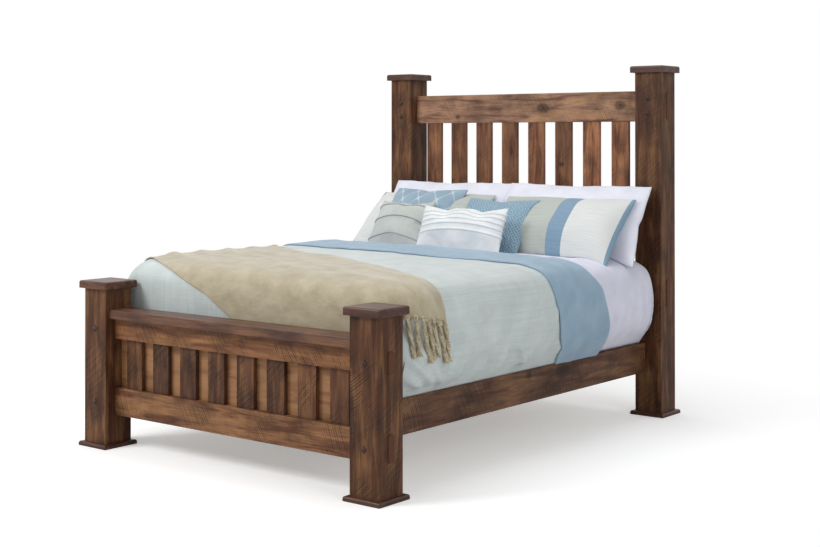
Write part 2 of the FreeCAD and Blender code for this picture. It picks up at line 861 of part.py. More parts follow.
throw_inner = duvet_outer + soft_gap
throw_outer = throw_inner + throw_thickness
throw_form = Part.makeLoft(bed_sections(folded_rows(), throw_outer, hem_z), True, True)
throw_core = bed_form(throw_inner, hem_z - low_reach)
outline = polygon([Vector(x * frame_width, y * frame_length, throw_foot_hem_z)
                   for x, y in throw_outline_shares])
throw_region = outline.extrude(Vector(0, 0, head_height - throw_foot_hem_z))
drop_x = hem_x - throw_side_hem_inset
side_drop = polygon([Vector(drop_x, -half_length, 0), Vector(drop_x, half_length, 0),
                     Vector(drop_x, half_length, hem_height(half_length)),
                     Vector(drop_x, -half_length, hem_height(-half_length))])
side_drop = side_drop.extrude(Vector(frame_width, 0, 0))
left_drop = block(-frame_width, -drop_x, -frame_length, frame_length, 0, throw_left_hem_z)
foot_cut = polygon([Vector(x * frame_width, bedding_start + throw_foot_band,
                           side_rail_top + z * crown_rise) for x, z in throw_foot_edge_shares])
foot_cut = foot_cut.extrude(Vector(0, -frame_length, 0))
throw = largest(throw_form.common(throw_region).cut([throw_core, side_drop, left_drop, foot_cut]))
save("throw", throw)


def side_reach(shape, y0, y1, z0, z1):
    """How far a shape reaches to the right within a stretch of its side."""
    return shape.common(block(0, frame_width, y0, y1, z0, z1)).optimalBoundingBox(False, False).XMax


def tassel(y, length):
    """A twisted tassel: a knot, a long body and a fuller tip, leaning to the head. It is brought up
    to the hem that it is knotted to, and in to the duvet that it lies on."""
    lean = math.radians(tassel_lean_deg)
    top = hem_height(y + tassel_knot_radius) - soft_gap - tassel_radius * math.sin(lean)
    knot_z = top - tassel_knot_drop / 2
    neck_z = top - tassel_knot_drop
    tip_z = top - length
    tip_start = tip_z + tassel_knot_drop
    edges = [
        Part.makeLine(Vector(0, 0, top), Vector(tassel_radius, 0, top)),
        arc(Vector(tassel_radius, 0, top), Vector(tassel_knot_radius, 0, knot_z),
            Vector(tassel_radius, 0, neck_z)),
        Part.makeLine(Vector(tassel_radius, 0, neck_z), Vector(tassel_radius, 0, tip_start)),
        Part.makeLine(Vector(tassel_radius, 0, tip_start), Vector(tassel_tip_radius, 0, tip_z)),
        Part.makeLine(Vector(tassel_tip_radius, 0, tip_z), Vector(0, 0, tip_z)),
        Part.makeLine(Vector(0, 0, tip_z), Vector(0, 0, top)),
    ]
    shape = Part.Face(Part.Wire(edges)).revolve(Vector(0, 0, 0), Vector(0, 0, 1), 360)
    shape.rotate(Vector(0, 0, top), Vector(1, 0, 0), tassel_lean_deg)
    run = length * math.sin(lean) + tassel_knot_radius
    x = side_reach(duvet_form, y - tassel_knot_radius, y + run, tip_z, top) + soft_gap + tassel_knot_radius
    shape.translate(Vector(x, y, 0))
    for carrier, way, rest in ((duvet, Vector(-1, 0, 0), tassel_rest), (throw, Vector(0, 0, 1), soft_gap)):
        gap = shape.distToShape(carrier)[0]
        shape.translate(way * max(gap - rest, 0))
    while shape.common(duvet).Solids:
        shape.translate(Vector(soft_gap, 0, 0))
    return shape


tassel_step = (tassel_last_y - tassel_first_y) / (tassel_count - 1)
save("throw_tassels", Part.makeCompound([
    tassel(tassel_first_y + i * tassel_step,
           tassel_length * tassel_length_shares[i % len(tassel_length_shares)])
    for i in range(tassel_count)]))


# Pillows: a lens of two crowned faces with drawn-in sides, leaning back, each hollowed where it
# rests on what is behind and under it

def pillow_section(u, inset_u, low, high, half, front, back):
    """One closed section across a pillow, from its foot edge to its top edge."""
    middle = (low + high) / 2
    front_arc = arc(Vector(u, low, half), Vector(inset_u, middle, half + front), Vector(u, high, half))
    back_arc = arc(Vector(u, high, -half), Vector(inset_u, middle, -half - back), Vector(u, low, -half))
    top = Part.makeLine(Vector(u, high, half), Vector(u, high, -half))
    foot = Part.makeLine(Vector(u, low, -half), Vector(u, low, half))
    return front_arc, top, back_arc, foot


def lens(shares, place_share, grow):
    """A pillow's full form, leaning back, larger all round by a distance."""
    width, front, back, pinch = [share * frame_width for share in (shares[0],) + shares[3:]]
    foot_edge, top_edge = [(y * frame_length, crown_z + z * head_height) for y, z in shares[1:3]]
    run = top_edge[0] - foot_edge[0]
    rise = top_edge[1] - foot_edge[1]
    height = math.hypot(run, rise)
    half_width_grown = width / 2 + grow
    sections = []
    for share in pillow_station_shares:
        fullness = math.sqrt(1 - share * share)
        sag = pinch * (1 - share * share)
        sections.append(pillow_section(share * half_width_grown, share * (half_width_grown - pinch),
                                       sag - grow, height - sag + grow, pillow_seam / 2 + grow,
                                       front * fullness, back * fullness))
    sides = Part.makeLoft([Part.Wire(list(edges)) for edges in sections], False, False)
    ends = [Part.makeRuledSurface(edges[0], edges[2]) for edges in (sections[0], sections[-1])]
    shell = Part.makeShell(sides.Faces + ends)
    shell.sewShape()
    solid = Part.makeSolid(shell)
    if solid.Volume < 0:
        solid.reverse()
    solid.rotate(Vector(0, 0, 0), Vector(1, 0, 0), math.degrees(math.atan2(rise, run)))
    solid.translate(Vector(place_share * frame_width, foot_edge[0], foot_edge[1]))
    return solid


def seated(shares, place_share):
    """A pillow lowered until it sinks a little into the bed, and the room that it takes."""
    pillow = lens(shares, place_share, 0)
    room = lens(shares, place_share, stack_gap)
    drop = Vector(0, 0, -pillow.distToShape(sheet_form)[0] - pillow_sink)
    pillow.translate(drop)
    room.translate(drop)
    return pillow, room


def pressed(pillow, rooms):
    """A pillow with the room of its neighbours taken out."""
    return largest(pillow.cut(rooms))


bed_room = bed_form(rest_gap, hem_z - low_reach)
duvet_room = turnback_form.common(side_slab(duvet_side))
duvet_room.translate(Vector(0, stack_gap, stack_gap))
under = [bed_room, duvet_room]
head_rooms = [block(sx * post_x - post_side / 2 - soft_gap, sx * post_x + post_side / 2 + soft_gap,
                    inner_y - soft_gap, half_length, 0, head_height) for sx in (-1, 1)]
head_rooms.append(block(-inner_x, inner_x, post_y - rail_thickness / 2 - soft_gap, half_length,
                        0, head_height))

sleeping_left, sleeping_left_room = seated(sleeping_shares, sleeping_left_place_share)
sleeping_right, sleeping_right_room = seated(sleeping_shares, sleeping_right_place_share)
sham_left, sham_left_room = seated(sham_shares, sham_left_place_share)
sham_right, sham_right_room = seated(sham_shares, sham_right_place_share)
lattice, lattice_room = seated(lattice_shares, lattice_place_share)
weave, weave_room = seated(weave_shares, weave_place_share)
pleated, _ = seated(pleated_shares, pleated_place_share)
lumbar, _ = seated(lumbar_shares, lumbar_place_share)

sleeping_rooms = [sleeping_left_room, sleeping_right_room]
sham_rooms = [sham_left_room, sham_right_room]
square_rooms = [lattice_room, weave_room]

save("sleeping_pillow_left", pressed(sleeping_left, under + head_rooms))
save("sleeping_pillow_right", pressed(sleeping_right, under + head_rooms))
save("striped_sham_left", pressed(sham_left, under + sleeping_rooms))
save("striped_sham_right", pressed(sham_right, under + sleeping_rooms))
save("lattice_pillow", pressed(lattice, under + sleeping_rooms + sham_rooms))
save("weave_pillow", pressed(weave, under + sleeping_rooms + sham_rooms))
save("pleated_pillow", pressed(pleated, under + sham_rooms + square_rooms))
save("lumbar_pillow", pressed(lumbar, under + sham_rooms + square_rooms))
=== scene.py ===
import math
from contextlib import contextmanager
from functools import partial

import bmesh
import bpy
import numpy as np
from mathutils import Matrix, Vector, noise
from mathutils.bvhtree import BVHTree


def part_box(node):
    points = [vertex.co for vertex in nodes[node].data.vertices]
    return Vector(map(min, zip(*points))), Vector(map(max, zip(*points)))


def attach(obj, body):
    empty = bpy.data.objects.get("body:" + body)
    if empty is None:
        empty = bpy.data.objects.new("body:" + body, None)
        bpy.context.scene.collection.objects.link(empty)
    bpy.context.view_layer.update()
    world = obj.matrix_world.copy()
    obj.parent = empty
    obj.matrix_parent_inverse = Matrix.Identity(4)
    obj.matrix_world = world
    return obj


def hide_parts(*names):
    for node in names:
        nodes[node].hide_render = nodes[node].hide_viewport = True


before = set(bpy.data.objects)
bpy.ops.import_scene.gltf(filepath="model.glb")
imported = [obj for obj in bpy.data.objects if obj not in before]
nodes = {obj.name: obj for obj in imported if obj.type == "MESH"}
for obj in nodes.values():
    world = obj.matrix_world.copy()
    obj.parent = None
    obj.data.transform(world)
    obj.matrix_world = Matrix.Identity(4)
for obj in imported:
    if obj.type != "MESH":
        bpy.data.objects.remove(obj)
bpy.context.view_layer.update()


# Posts
# Four 6-inch posts of rough-sawn brown maple in a dark walnut stain under satin lacquer, each with
# a dressed cap and a plinth. The circular saw that cut them left fine curved grooves across the
# grain, which hold more stain.

SAW_PITCH = 0.0118
SAW_GROOVE = "160d09"
KNOT_HEART = "1c100b"
TENON_END = "54321f"
TENON_REACH = 0.9052
POST = "573824"
CAP = "46291e"
LACQUER = {"Coat Weight": 0.35, "Coat Roughness": 0.25}
GRAIN_TURN = {"x": (0, 0, 0), "y": (0, 0, -math.pi / 2), "z": (0, math.pi / 2, 0)}


def linear(code):
    """A linear colour from an sRGB hex value."""
    channels = [int(code[i:i + 2], 16) / 255 for i in (0, 2, 4)]
    return [c / 12.92 if c <= 0.04045 else ((c + 0.055) / 1.055) ** 2.4 for c in channels] + [1.0]


def blend_colours(a, b, share):
    """A hex colour between two others."""
    pairs = [(int(a[i:i + 2], 16), int(b[i:i + 2], 16)) for i in (0, 2, 4)]
    return "".join("%02x" % round(p + (q - p) * share) for p, q in pairs)


def shade(level):
    """A plain grey for a colour stop."""
    return (level, level, level, 1.0)


def set_sockets(node, values):
    """Set a node's sockets to values, or link them to other nodes' outputs."""
    for key, value in values.items():
        if isinstance(value, bpy.types.NodeSocket):
            node.id_data.links.new(value, node.inputs[key])
        else:
            node.inputs[key].default_value = value


def add_node(tree, kind, values=None, stops=None, take=0, **settings):
    """Add one shader node with its socket values or links, colour stops and settings. Returns one of
    its outputs, or all of them where take is None."""
    made = tree.nodes.new("ShaderNode" + kind)
    for key, value in settings.items():
        setattr(made, key, value)
    set_sockets(made, values or {})
    if stops:
        elements = made.color_ramp.elements
        while len(elements) < len(stops):
            elements.new(0.5)
        for element, (position, colour) in zip(elements, stops):
            element.position = position
            element.color = colour
    return made.outputs if take is None else made.outputs[take]


def new_material(name):
    """A material, its Principled shader, and a call that adds a node to it."""
    material = bpy.data.materials.new(name)
    material.use_nodes = True
    tree = material.node_tree
    return material, tree.nodes["Principled BSDF"], partial(add_node, tree)


def sawn_timber(name, grain, colour, contrast, saw=0.0, slope=0.0, board=0.0, spots=(), tenons=False,
                coat=None):
    """Stained timber with its grain along one axis. Saw is the depth of the saw marks and slope how
    they lean, board is the pitch of boards that differ in tone, and spots are knots as their place
    along the wall of the bed, height and radius. The end grain of through tenons takes more stain."""
    material, shader, add = new_material("walnut_stained_maple_" + name)
    place = add("TexCoord", take="Object")
    turned = add("Mapping", {"Vector": place, "Rotation": GRAIN_TURN[grain]})
    figure_place = add("Mapping", {"Vector": turned, "Scale": (1.0, 8.0, 8.0)})
    figure = add("TexNoise", {"Vector": figure_place, "Scale": 3.4, "Detail": 4.0, "Roughness": 0.55,
                              "Distortion": 0.5})
    streak_place = add("Mapping", {"Vector": turned, "Scale": (2.0, 45.0, 45.0)})
    streak = add("TexNoise", {"Vector": streak_place, "Scale": 5.0, "Detail": 5.0, "Roughness": 0.65})
    cloud = add("TexNoise", {"Vector": turned, "Scale": 5.5, "Detail": 3.0, "Roughness": 0.6})
    stained = add("ValToRGB", {"Fac": figure}, [
        (0.36, linear(blend_colours(colour, "2c0f08", contrast))), (0.5, linear(colour)),
        (0.64, linear(blend_colours(colour, "c2925a", 0.6 * contrast)))])
    for uneven, middle, darker, lighter in ((streak, 0.52, 0.75, 0.5), (cloud, 0.5, 0.8, 0.6)):
        tone = add("ValToRGB", {"Fac": uneven}, [
            (middle - 0.16, shade(1 - darker * contrast)), (middle, shade(1.0)),
            (middle + 0.16, shade(1 + lighter * contrast))])
        stained = add("MixRGB", {"Fac": 1.0, "Color1": stained, "Color2": tone}, blend_type="MULTIPLY")

    parts = add("SeparateXYZ", {0: place}, take=None)
    if board:
        number = add("Math", {0: parts[0], 1: board}, operation="DIVIDE")
        whole = add("Math", {0: number}, operation="FLOOR")
        luck = add("TexWhiteNoise", {"W": whole}, take="Value", noise_dimensions="1D")
        tone = add("ValToRGB", {"Fac": luck}, [(0.0, shade(0.72)), (1.0, shade(1.3))])
        stained = add("MixRGB", {"Fac": 1.0, "Color1": stained, "Color2": tone}, blend_type="MULTIPLY")

    for x, z, radius in spots:
        ripple = add("TexNoise", {"Vector": place, "Scale": 14.0, "Detail": 3.0}, take="Color")
        shaken = add("MixRGB", {"Fac": 0.02, "Color1": place, "Color2": ripple}, blend_type="ADD")
        wide, beside = 1 / (1.5 * radius), -(x + 0.01) / (1.5 * radius)
        tall, below = 1 / radius, -(z + 0.01) / radius
        along_y = grain == "y"
        knot_place = add("Mapping", {
            "Vector": shaken, "Scale": (0.001, wide, tall) if along_y else (wide, 0.001, tall),
            "Location": (0, beside, below) if along_y else (beside, 0, below)})
        distance = add("VectorMath", {0: knot_place}, take="Value", operation="LENGTH")
        rings = add("Math", {0: distance, 1: 11.0}, operation="MULTIPLY")
        ring_wave = add("Math", {0: rings}, operation="SINE")
        ringed = add("Math", {0: ring_wave, 1: 0.10, 2: distance}, operation="MULTIPLY_ADD")
        knot = add("ValToRGB", {"Fac": ringed}, [
            (0.12, shade(0.92)), (0.34, shade(0.6)), (0.62, shade(0.28)), (1.0, shade(0.0))])
        stained = add("MixRGB", {"Fac": knot, "Color1": stained, "Color2": linear(KNOT_HEART)})

    grain_parts = add("SeparateXYZ", {0: turned}, take=None)
    across = add("Math", {0: grain_parts[2], 1: grain_parts[1]}, operation="SUBTRACT")
    lean = add("Math", {0: across, 1: slope, 2: grain_parts[0]}, operation="MULTIPLY_ADD")
    drift = add("TexNoise", {"Vector": turned, "Scale": 2.4, "Detail": 1.0})
    travel = add("Math", {0: drift, 1: 0.16, 2: lean}, operation="MULTIPLY_ADD")
    phase = add("Math", {0: travel, 1: math.tau / SAW_PITCH}, operation="MULTIPLY")
    wave = add("Math", {0: phase}, operation="SINE")
    slower = add("Math", {0: phase, 1: 0.381}, operation="MULTIPLY")
    slow = add("Math", {0: slower}, operation="SINE")
    both = add("Math", {0: slow, 1: 0.4, 2: wave}, operation="MULTIPLY_ADD")
    groove = add("ValToRGB", {"Fac": both}, [(0.25, shade(0.0)), (0.8, shade(1.0))])
    patch = add("TexNoise", {"Vector": turned, "Scale": 7.0, "Detail": 3.0, "Roughness": 0.6})
    patch_share = add("ValToRGB", {"Fac": patch}, [(0.46, shade(0.0)), (0.58, shade(1.0))])
    saw_mark = add("Math", {0: groove, 1: patch_share}, operation="MULTIPLY")
    saw_share = add("Math", {0: saw_mark, 1: saw}, operation="MULTIPLY")
    sawn = add("MixRGB", {"Fac": saw_share, "Color1": stained, "Color2": linear(SAW_GROOVE)})

    if tenons:
        reach = add("Math", {0: parts[0]}, operation="ABSOLUTE")
        end = add("Math", {0: reach, 1: TENON_REACH}, operation="GREATER_THAN")
        sawn = add("MixRGB", {"Fac": end, "Color1": sawn, "Color2": linear(TENON_END)})

    relief = add("Math", {0: saw_share, 1: -1.2, 2: streak}, operation="MULTIPLY_ADD")
    set_sockets(shader, {
        "Base Color": sawn, "Specular IOR Level": 0.2,
        "Roughness": add("MapRange", {"Value": streak, "To Min": 0.40, "To Max": 0.62}),
        "Normal": add("Bump", {"Height": relief, "Strength": 0.6, "Distance": 0.0008}), **(coat or {})})
    return material


def finish(material, *names):
    """Give pieces of the frame their finish."""
    for name in names:
        nodes[name].data.materials.clear()
        nodes[name].data.materials.append(material)


post_timber = sawn_timber("posts", "z", POST, contrast=0.42, saw=0.7, slope=0.75)
cap_timber = sawn_timber("caps", "x", CAP, contrast=0.3, slope=0.4, coat=LACQUER)
for post in ("head_post_left", "head_post_right", "foot_post_left", "foot_post_right"):
    finish(post_timber, post)
    finish(cap_timber, post + "_cap", post + "_plinth")


# Headboard
# A wide top rail and a bottom rail tenoned right through the posts, with eight upright slats
# housed between them. The boards differ in tone, and the top rail has two large knots.

HEAD_RAIL = "94705a"
HEAD_SLAT = "85593f"
SLAT_PITCH = 0.1885

finish(sawn_timber("head_rails", "x", HEAD_RAIL, contrast=0.44, saw=0.4, slope=0.7, spots=(
           (0.14, 1.61, 0.05), (0.63, 1.62, 0.045), (-0.45, 1.57, 0.02)), tenons=True),
       "headboard_top_rail", "headboard_bottom_rail")
finish(sawn_timber("head_slats", "z", HEAD_SLAT, contrast=0.42, saw=0.6, slope=0.8, board=SLAT_PITCH,
                   spots=((0.26, 1.30, 0.02), (-0.5, 1.2, 0.018))),
       *("headboard_slat_%d" % number for number in range(1, 9)))


# Footboard
# Two rails tenoned through the posts, eight rough slats housed between them, a smooth lighter
# panel nailed behind the slats, and a flat cap rail along the top. Square-headed pegs pin every
# tenon; their heads are given a dark colour that paints in the shade round the proud heads.

FOOT_TOP_RAIL = "83593b"
FOOT_BOTTOM_RAIL = "845c3f"
FOOT_CAP_RAIL = "553627"
FOOT_SLAT = "5d3d29"
FOOT_PANEL = "9c7250"
PEG_PAINTED_SHADE = "341d12"

finish(sawn_timber("foot_top_rail", "x", FOOT_TOP_RAIL, contrast=0.34, saw=0.75, slope=0.6, tenons=True),
       "footboard_top_rail")
finish(sawn_timber("foot_bottom_rail", "x", FOOT_BOTTOM_RAIL, contrast=0.44, saw=0.55, slope=0.5, spots=(
           (-0.33, 0.31, 0.065), (0.20, 0.34, 0.03), (0.44, 0.30, 0.02)), tenons=True),
       "footboard_bottom_rail")
finish(sawn_timber("foot_cap_rail", "x", FOOT_CAP_RAIL, contrast=0.36, slope=0.3, coat=LACQUER),
       "footboard_cap_rail")
finish(sawn_timber("foot_panel", "x", FOOT_PANEL, contrast=0.2), "footboard_panel")
finish(sawn_timber("foot_slats", "z", FOOT_SLAT, contrast=0.36, saw=1.0, slope=0.8, board=SLAT_PITCH),
       *("footboard_slat_%d" % number for number in range(1, 9)))
# Painted shade: the pegs' dark colour stands in for the shade at their proud heads, which are about the
# posts' own tone.
finish(sawn_timber("pegs", "z", PEG_PAINTED_SHADE, contrast=0.1, coat={"Coat Weight": 0.35}), "tenon_pegs")


# Side rails
# Two long rails hooked between the posts, rough-sawn like the rest, with saw marks that slant
# along their length.

SIDE_RAIL = "5e412f"

finish(sawn_timber("side_rails", "y", SIDE_RAIL, contrast=0.38, saw=0.7, slope=0.3, spots=(
           (0.27, 0.33, 0.07), (-0.02, 0.35, 0.03))), "side_rail_left", "side_rail_right")


# Hidden carrying pieces
# Planed pine cleats, boards, beam and legs under the bedding, left unfinished, with fine yellow
# grain. The cleats are screwed to the side rails, and the boards on them carry the foundation.

pine, shader, add = new_material("planed_pine")
grain_place = add("Mapping", {"Vector": add("TexCoord", take="Object"), "Scale": (3.0, 30.0, 30.0)})
grain_figure = add("TexNoise", {"Vector": grain_place, "Scale": 3.0, "Detail": 4.0})
set_sockets(shader, {"Roughness": 0.6, "Base Color": add("ValToRGB", {"Fac": grain_figure}, [
    (0.35, linear("b08a55")), (0.65, linear("d8b985"))])})
finish(pine, "cleat_left", "cleat_right", "support_slats", "centre_beam", "centre_legs")


# Steel fittings
# Pressed steel hook plates and countersunk screws, zinc plated: a bluish grey with a fine
# brushed grain and a soft shine.

zinc, shader, add = new_material("zinc_plated_steel")
brush_place = add("Mapping", {"Vector": add("TexCoord", take="Object"), "Scale": (40.0, 40.0, 900.0)})
brushed = add("TexNoise", {"Vector": brush_place, "Scale": 2.0})
set_sockets(shader, {"Base Color": linear("a9abac"), "Metallic": 1.0, "Roughness": add("MapRange", {
    "Value": brushed, "To Min": 0.28, "To Max": 0.45})})
finish(zinc, "rail_hooks", "post_hook_plates", "wood_screws")


# Foundation and mattress
# A firm box under a deep padded mattress, both covered in woven ticking. The mattress has shallow
# quilted dimples and rounded edges, and lies on the foundation.

TICKING = "dcd8cc"
TICKING_STRIPE = "b9bdc4"
STRIPE_PITCH = 0.012
QUILT_PITCH = 0.18
QUILT_DEPTH = 0.004
VOXEL = 0.012
WAVE_UNIT = math.tau / 20


def add_object(name, data):
    """A new object in the scene."""
    made = bpy.data.objects.new(name, data)
    bpy.context.scene.collection.objects.link(made)
    return made


def link(name, mesh, body):
    """A new piece of the bed that rides on a body."""
    piece = add_object(name, mesh)
    mesh.shade_smooth()
    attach(piece, body)
    return piece


@contextmanager
def editing(mesh):
    """An editable form of a mesh, which is written back to it at the end."""
    edit = bmesh.new()
    edit.from_mesh(mesh)
    yield edit
    edit.to_mesh(mesh)
    edit.free()


def settle(piece):
    """Give a piece the mesh that its modifiers make, and take them off."""
    graph = bpy.context.evaluated_depsgraph_get()
    made = bpy.data.meshes.new_from_object(piece.evaluated_get(graph))
    rough = piece.data
    piece.modifiers.clear()
    piece.data = made
    bpy.data.meshes.remove(rough)


def relax(mesh, rounds):
    """Move the points of a mesh towards their neighbours."""
    with editing(mesh) as edit:
        for _ in range(rounds):
            bmesh.ops.smooth_vert(edit, verts=edit.verts, factor=0.5, use_axis_x=True,
                                  use_axis_y=True, use_axis_z=True)
    mesh.shade_smooth()


def soft_copy(name, node, body, rounds):
    """A closed, evenly meshed and rounded copy of a soft solid."""
    mesh = bpy.data.meshes.new(name)
    with editing(mesh) as edit:
        edit.from_mesh(nodes[node].data)
        bmesh.ops.remove_doubles(edit, verts=edit.verts, dist=1e-5)
    piece = link(name, mesh, body)
    piece.modifiers.new("remesh", "REMESH").voxel_size = VOXEL
    settle(piece)
    relax(piece.data, rounds)
    piece.data.materials.append(ticking)
    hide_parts(node)
    return piece


def woven(name, colour, rough, sheen, thread=0.002, relief=0.0003, coordinates="UV"):
    """A plain-woven cloth: its threads and a slight unevenness of dye. Returns the material, its
    shader, a call that adds a node, and the coordinates and colour that a pattern needs."""
    material, shader, add = new_material(name)
    place = add("TexCoord", take=coordinates)
    warp, weft = [add("TexWave", {"Vector": place, "Scale": WAVE_UNIT / thread, "Distortion": 1.2},
                      take="Fac", bands_direction=way) for way in "XY"]
    threads = add("Math", {0: warp, 1: weft}, operation="ADD")
    cloudy = add("TexNoise", {"Vector": place, "Scale": 9.0, "Detail": 4.0})
    dyed = add("ValToRGB", {"Fac": cloudy}, [
        (0.3, linear(blend_colours(colour, "000000", 0.05))),
        (0.7, linear(blend_colours(colour, "ffffff", 0.07)))])
    set_sockets(shader, {
        "Base Color": dyed, "Roughness": rough, "Sheen Weight": sheen, "Sheen Roughness": 0.5,
        "Specular IOR Level": 0.25,
        "Normal": add("Bump", {"Height": threads, "Strength": 0.35, "Distance": relief})})
    return material, shader, add, place, dyed


ticking, shader, add, place, dyed = woven("striped_cotton_ticking", TICKING, rough=0.85, sheen=0.1,
                                          thread=0.0016, relief=0.0004, coordinates="Object")
bands = add("TexWave", {"Vector": place, "Scale": WAVE_UNIT / STRIPE_PITCH}, take="Fac", bands_direction="X")
band_share = add("ValToRGB", {"Fac": bands}, [(0.82, shade(0.0)), (0.88, shade(1.0))])
set_sockets(shader, {"Base Color": add("MixRGB", {
    "Fac": band_share, "Color1": dyed, "Color2": linear(TICKING_STRIPE)})})

foundation = soft_copy("foundation_box", "foundation", "bed_frame", 1)
mattress = soft_copy("mattress_pad", "mattress", "mattress_set", 6)
with editing(mattress.data) as quilt:
    for vertex in quilt.verts:
        x, y, _ = vertex.co
        dimple = math.cos(math.tau * x / QUILT_PITCH) * math.cos(math.tau * y / QUILT_PITCH)
        vertex.co -= vertex.normal * QUILT_DEPTH * (1.0 + 0.5 * dimple)


# Fitted sheet
# Lavender-white cotton percale stretched over the mattress and tucked in behind the side rails,
# with soft upright folds where it is pulled round the sides.

BED_START = -1.0085
BED_END = 1.0325
BED_LENGTH = BED_END - BED_START
HEM_Z = 0.3755
END_SINK = 0.062
SIDE_SWELL = 0.016
SHEET = "dddeee"
SHEET_FOLD = 0.009
SHEET_WAVES = 34
LOOSE_FROM = 0.3
# Outline of the made bed seen from its foot, from the left hem over the top to the right one: x and
# height, with the shares of the ends' sink that lowers it and of the swell that widens it
SECTION = (
    (-0.785, 0.3755, 0.0, 0.0), (-0.866, 0.505, 0.0, -1.0), (-0.878, 0.668, 0.5, -1.0),
    (-0.854, 0.812, 1.0, -1.0), (-0.790, 0.854, 1.0, -1.0), (-0.700, 0.8555, 1.0, -0.8),
    (-0.400, 0.8558, 1.0, -0.4), (-0.020, 0.853, 1.0, 0.0), (0.300, 0.847, 1.0, 0.3),
    (0.620, 0.8375, 1.0, 0.8), (0.720, 0.834, 1.0, 1.0), (0.840, 0.788, 1.0, 1.0),
    (0.880, 0.650, 0.5, 1.0), (0.866, 0.505, 0.0, 1.0), (0.785, 0.3755, 0.0, 0.0))
# Shares along the bed, with the sink of the top and the swell of the sides at each
ALONG_SHAPE = (
    (0, 1, -1.6), (0.012, 0.55, -0.85), (0.035, 0.24, -0.25), (0.075, 0.06, 0.12), (0.16, 0, -0.12),
    (0.25, -0.04, 0.16), (0.36, 0, -0.1), (0.48, 0.02, 0.1), (0.60, 0, 0.2), (0.72, 0.02, 0.35),
    (0.82, 0, 0.85), (0.91, 0.04, 0.9), (0.965, 0.14, 0.8), (0.99, 0.34, 0.45), (1, 0.6, 0))
WALL = 0.48
SHEET_WALL = 0.38
ROW_STEP = 0.015
LENGTH_ROWS = 137
ACROSS_STEPS = 181
FINE_STEPS = 700
WORN_AREA = 2e-6
MERGE_REACH = 0.0006
SIDE_TOP = 0.80
SIDE_FALL = 0.30
FOLD_HEM = 0.385
FOLD_FALL = 0.06
FOLD_LEAST = 0.1


def through(stations, values, at):
    """Read a smooth line that passes through values at their stations."""
    stations, values, at = (np.asarray(a, float) for a in (stations, values, at))
    gaps = np.diff(stations)
    slopes = np.diff(values) / gaps
    lean = np.concatenate(([slopes[0]], (slopes[:-1] * gaps[1:] + slopes[1:] * gaps[:-1])
                           / (gaps[:-1] + gaps[1:]), [slopes[-1]]))
    i = np.clip(np.searchsorted(stations, at) - 1, 0, len(gaps) - 1)
    t = (at - stations[i]) / gaps[i]
    low = (1 + 2 * t) * (1 - t) ** 2 * values[i] + t * (1 - t) ** 2 * gaps[i] * lean[i]
    return low + t * t * (3 - 2 * t) * values[i + 1] - t * t * (1 - t) * gaps[i] * lean[i + 1]


def run_along(x, z):
    """Distance run along an outline to each of its points."""
    return np.concatenate(([0], np.cumsum(np.hypot(np.diff(x), np.diff(z)))))


def bed_section(share):
    """The outline across the made bed at a share of its length, in even steps."""
    places, sinks, swells = zip(*ALONG_SHAPE)
    sink = float(through(places, sinks, share)) * END_SINK
    swell = float(through(places, swells, share)) * SIDE_SWELL
    x = np.array([p[0] + p[3] * swell for p in SECTION])
    z = np.array([p[1] - p[2] * sink for p in SECTION])
    chord = run_along(x, z)
    fine = np.linspace(0, chord[-1], FINE_STEPS)
    x, z = through(chord, x, fine), through(chord, z, fine)
    run = run_along(x, z)
    even = np.linspace(0, run[-1], ACROSS_STEPS)
    return np.interp(even, run, x), np.interp(even, run, z), even - run[-1] / 2


def end_wall(x, z, depth):
    """The outline let down over the end of the bed by a depth, kept between its own sides."""
    crown = ACROSS_STEPS // 2
    down = np.maximum(z - depth, HEM_Z)
    left = np.interp(down, z[:crown], x[:crown])
    right = np.interp(down, z[crown:][::-1], x[crown:][::-1])
    return np.clip(x, left, right), down


def soften_rows(table, rounds):
    """Blend each row of a table with the rows beside it."""
    for _ in range(rounds):
        table[1:-1] = (table[:-2] + 2 * table[1:-1] + table[2:]) / 4


def one_long(table):
    """The directions in a table, each made one long."""
    return table / np.maximum(np.linalg.norm(table, axis=2, keepdims=True), 1e-9)


along_rows = np.concatenate((np.arange(-WALL, -1e-6, ROW_STEP), np.linspace(0, BED_LENGTH, LENGTH_ROWS),
                             BED_LENGTH + np.arange(ROW_STEP, WALL + 1e-6, ROW_STEP)))
surface = np.zeros((len(along_rows), ACROSS_STEPS, 3))
across_run = np.zeros((len(along_rows), ACROSS_STEPS))
for row, along in enumerate(along_rows):
    x, z, across_run[row] = bed_section(min(max(along / BED_LENGTH, 0.0), 1.0))
    past = max(-along, along - BED_LENGTH, 0.0)
    if past > 0:
        x, z = end_wall(x, z, past)
    surface[row, :, 0] = x
    surface[row, :, 1] = BED_START + min(max(along, 0.0), BED_LENGTH)
    surface[row, :, 2] = z
soften_rows(surface, 4)
outward = one_long(np.cross(np.gradient(surface, axis=1), np.gradient(surface, axis=0)))
soften_rows(outward, 6)
outward = one_long(outward)


def read_table(table, across, along):
    """Values of a table of the bed's surface at shares across it and distances along it."""
    row = np.interp(along, along_rows, np.arange(len(along_rows)))
    column = np.clip(across, 0, 1) * (ACROSS_STEPS - 1)
    i = np.minimum(row.astype(int), len(along_rows) - 2)
    j = np.minimum(column.astype(int), ACROSS_STEPS - 2)
    a, b = row - i, column - j
    if table.ndim == 3:
        a, b = a[:, None], b[:, None]
    return ((table[i, j] * (1 - a) + table[i + 1, j] * a) * (1 - b)
            + (table[i, j + 1] * (1 - a) + table[i + 1, j + 1] * a) * b)


def rumple(points, size, seed, stretch=(1.0, 1.0, 1.0)):
    """Smooth unevenness between -1 and 1 at each point, of a given size in metres."""
    shift = Vector((seed, seed * 0.7, seed * 1.3))
    return np.array([noise.noise(Vector(p) / size + shift) for p in points * np.array(stretch)])


def ramp(past, run, least=0.0):
    """A share that rises from its least to 1 over a run past some place."""
    return np.clip(past / run, least, 1)


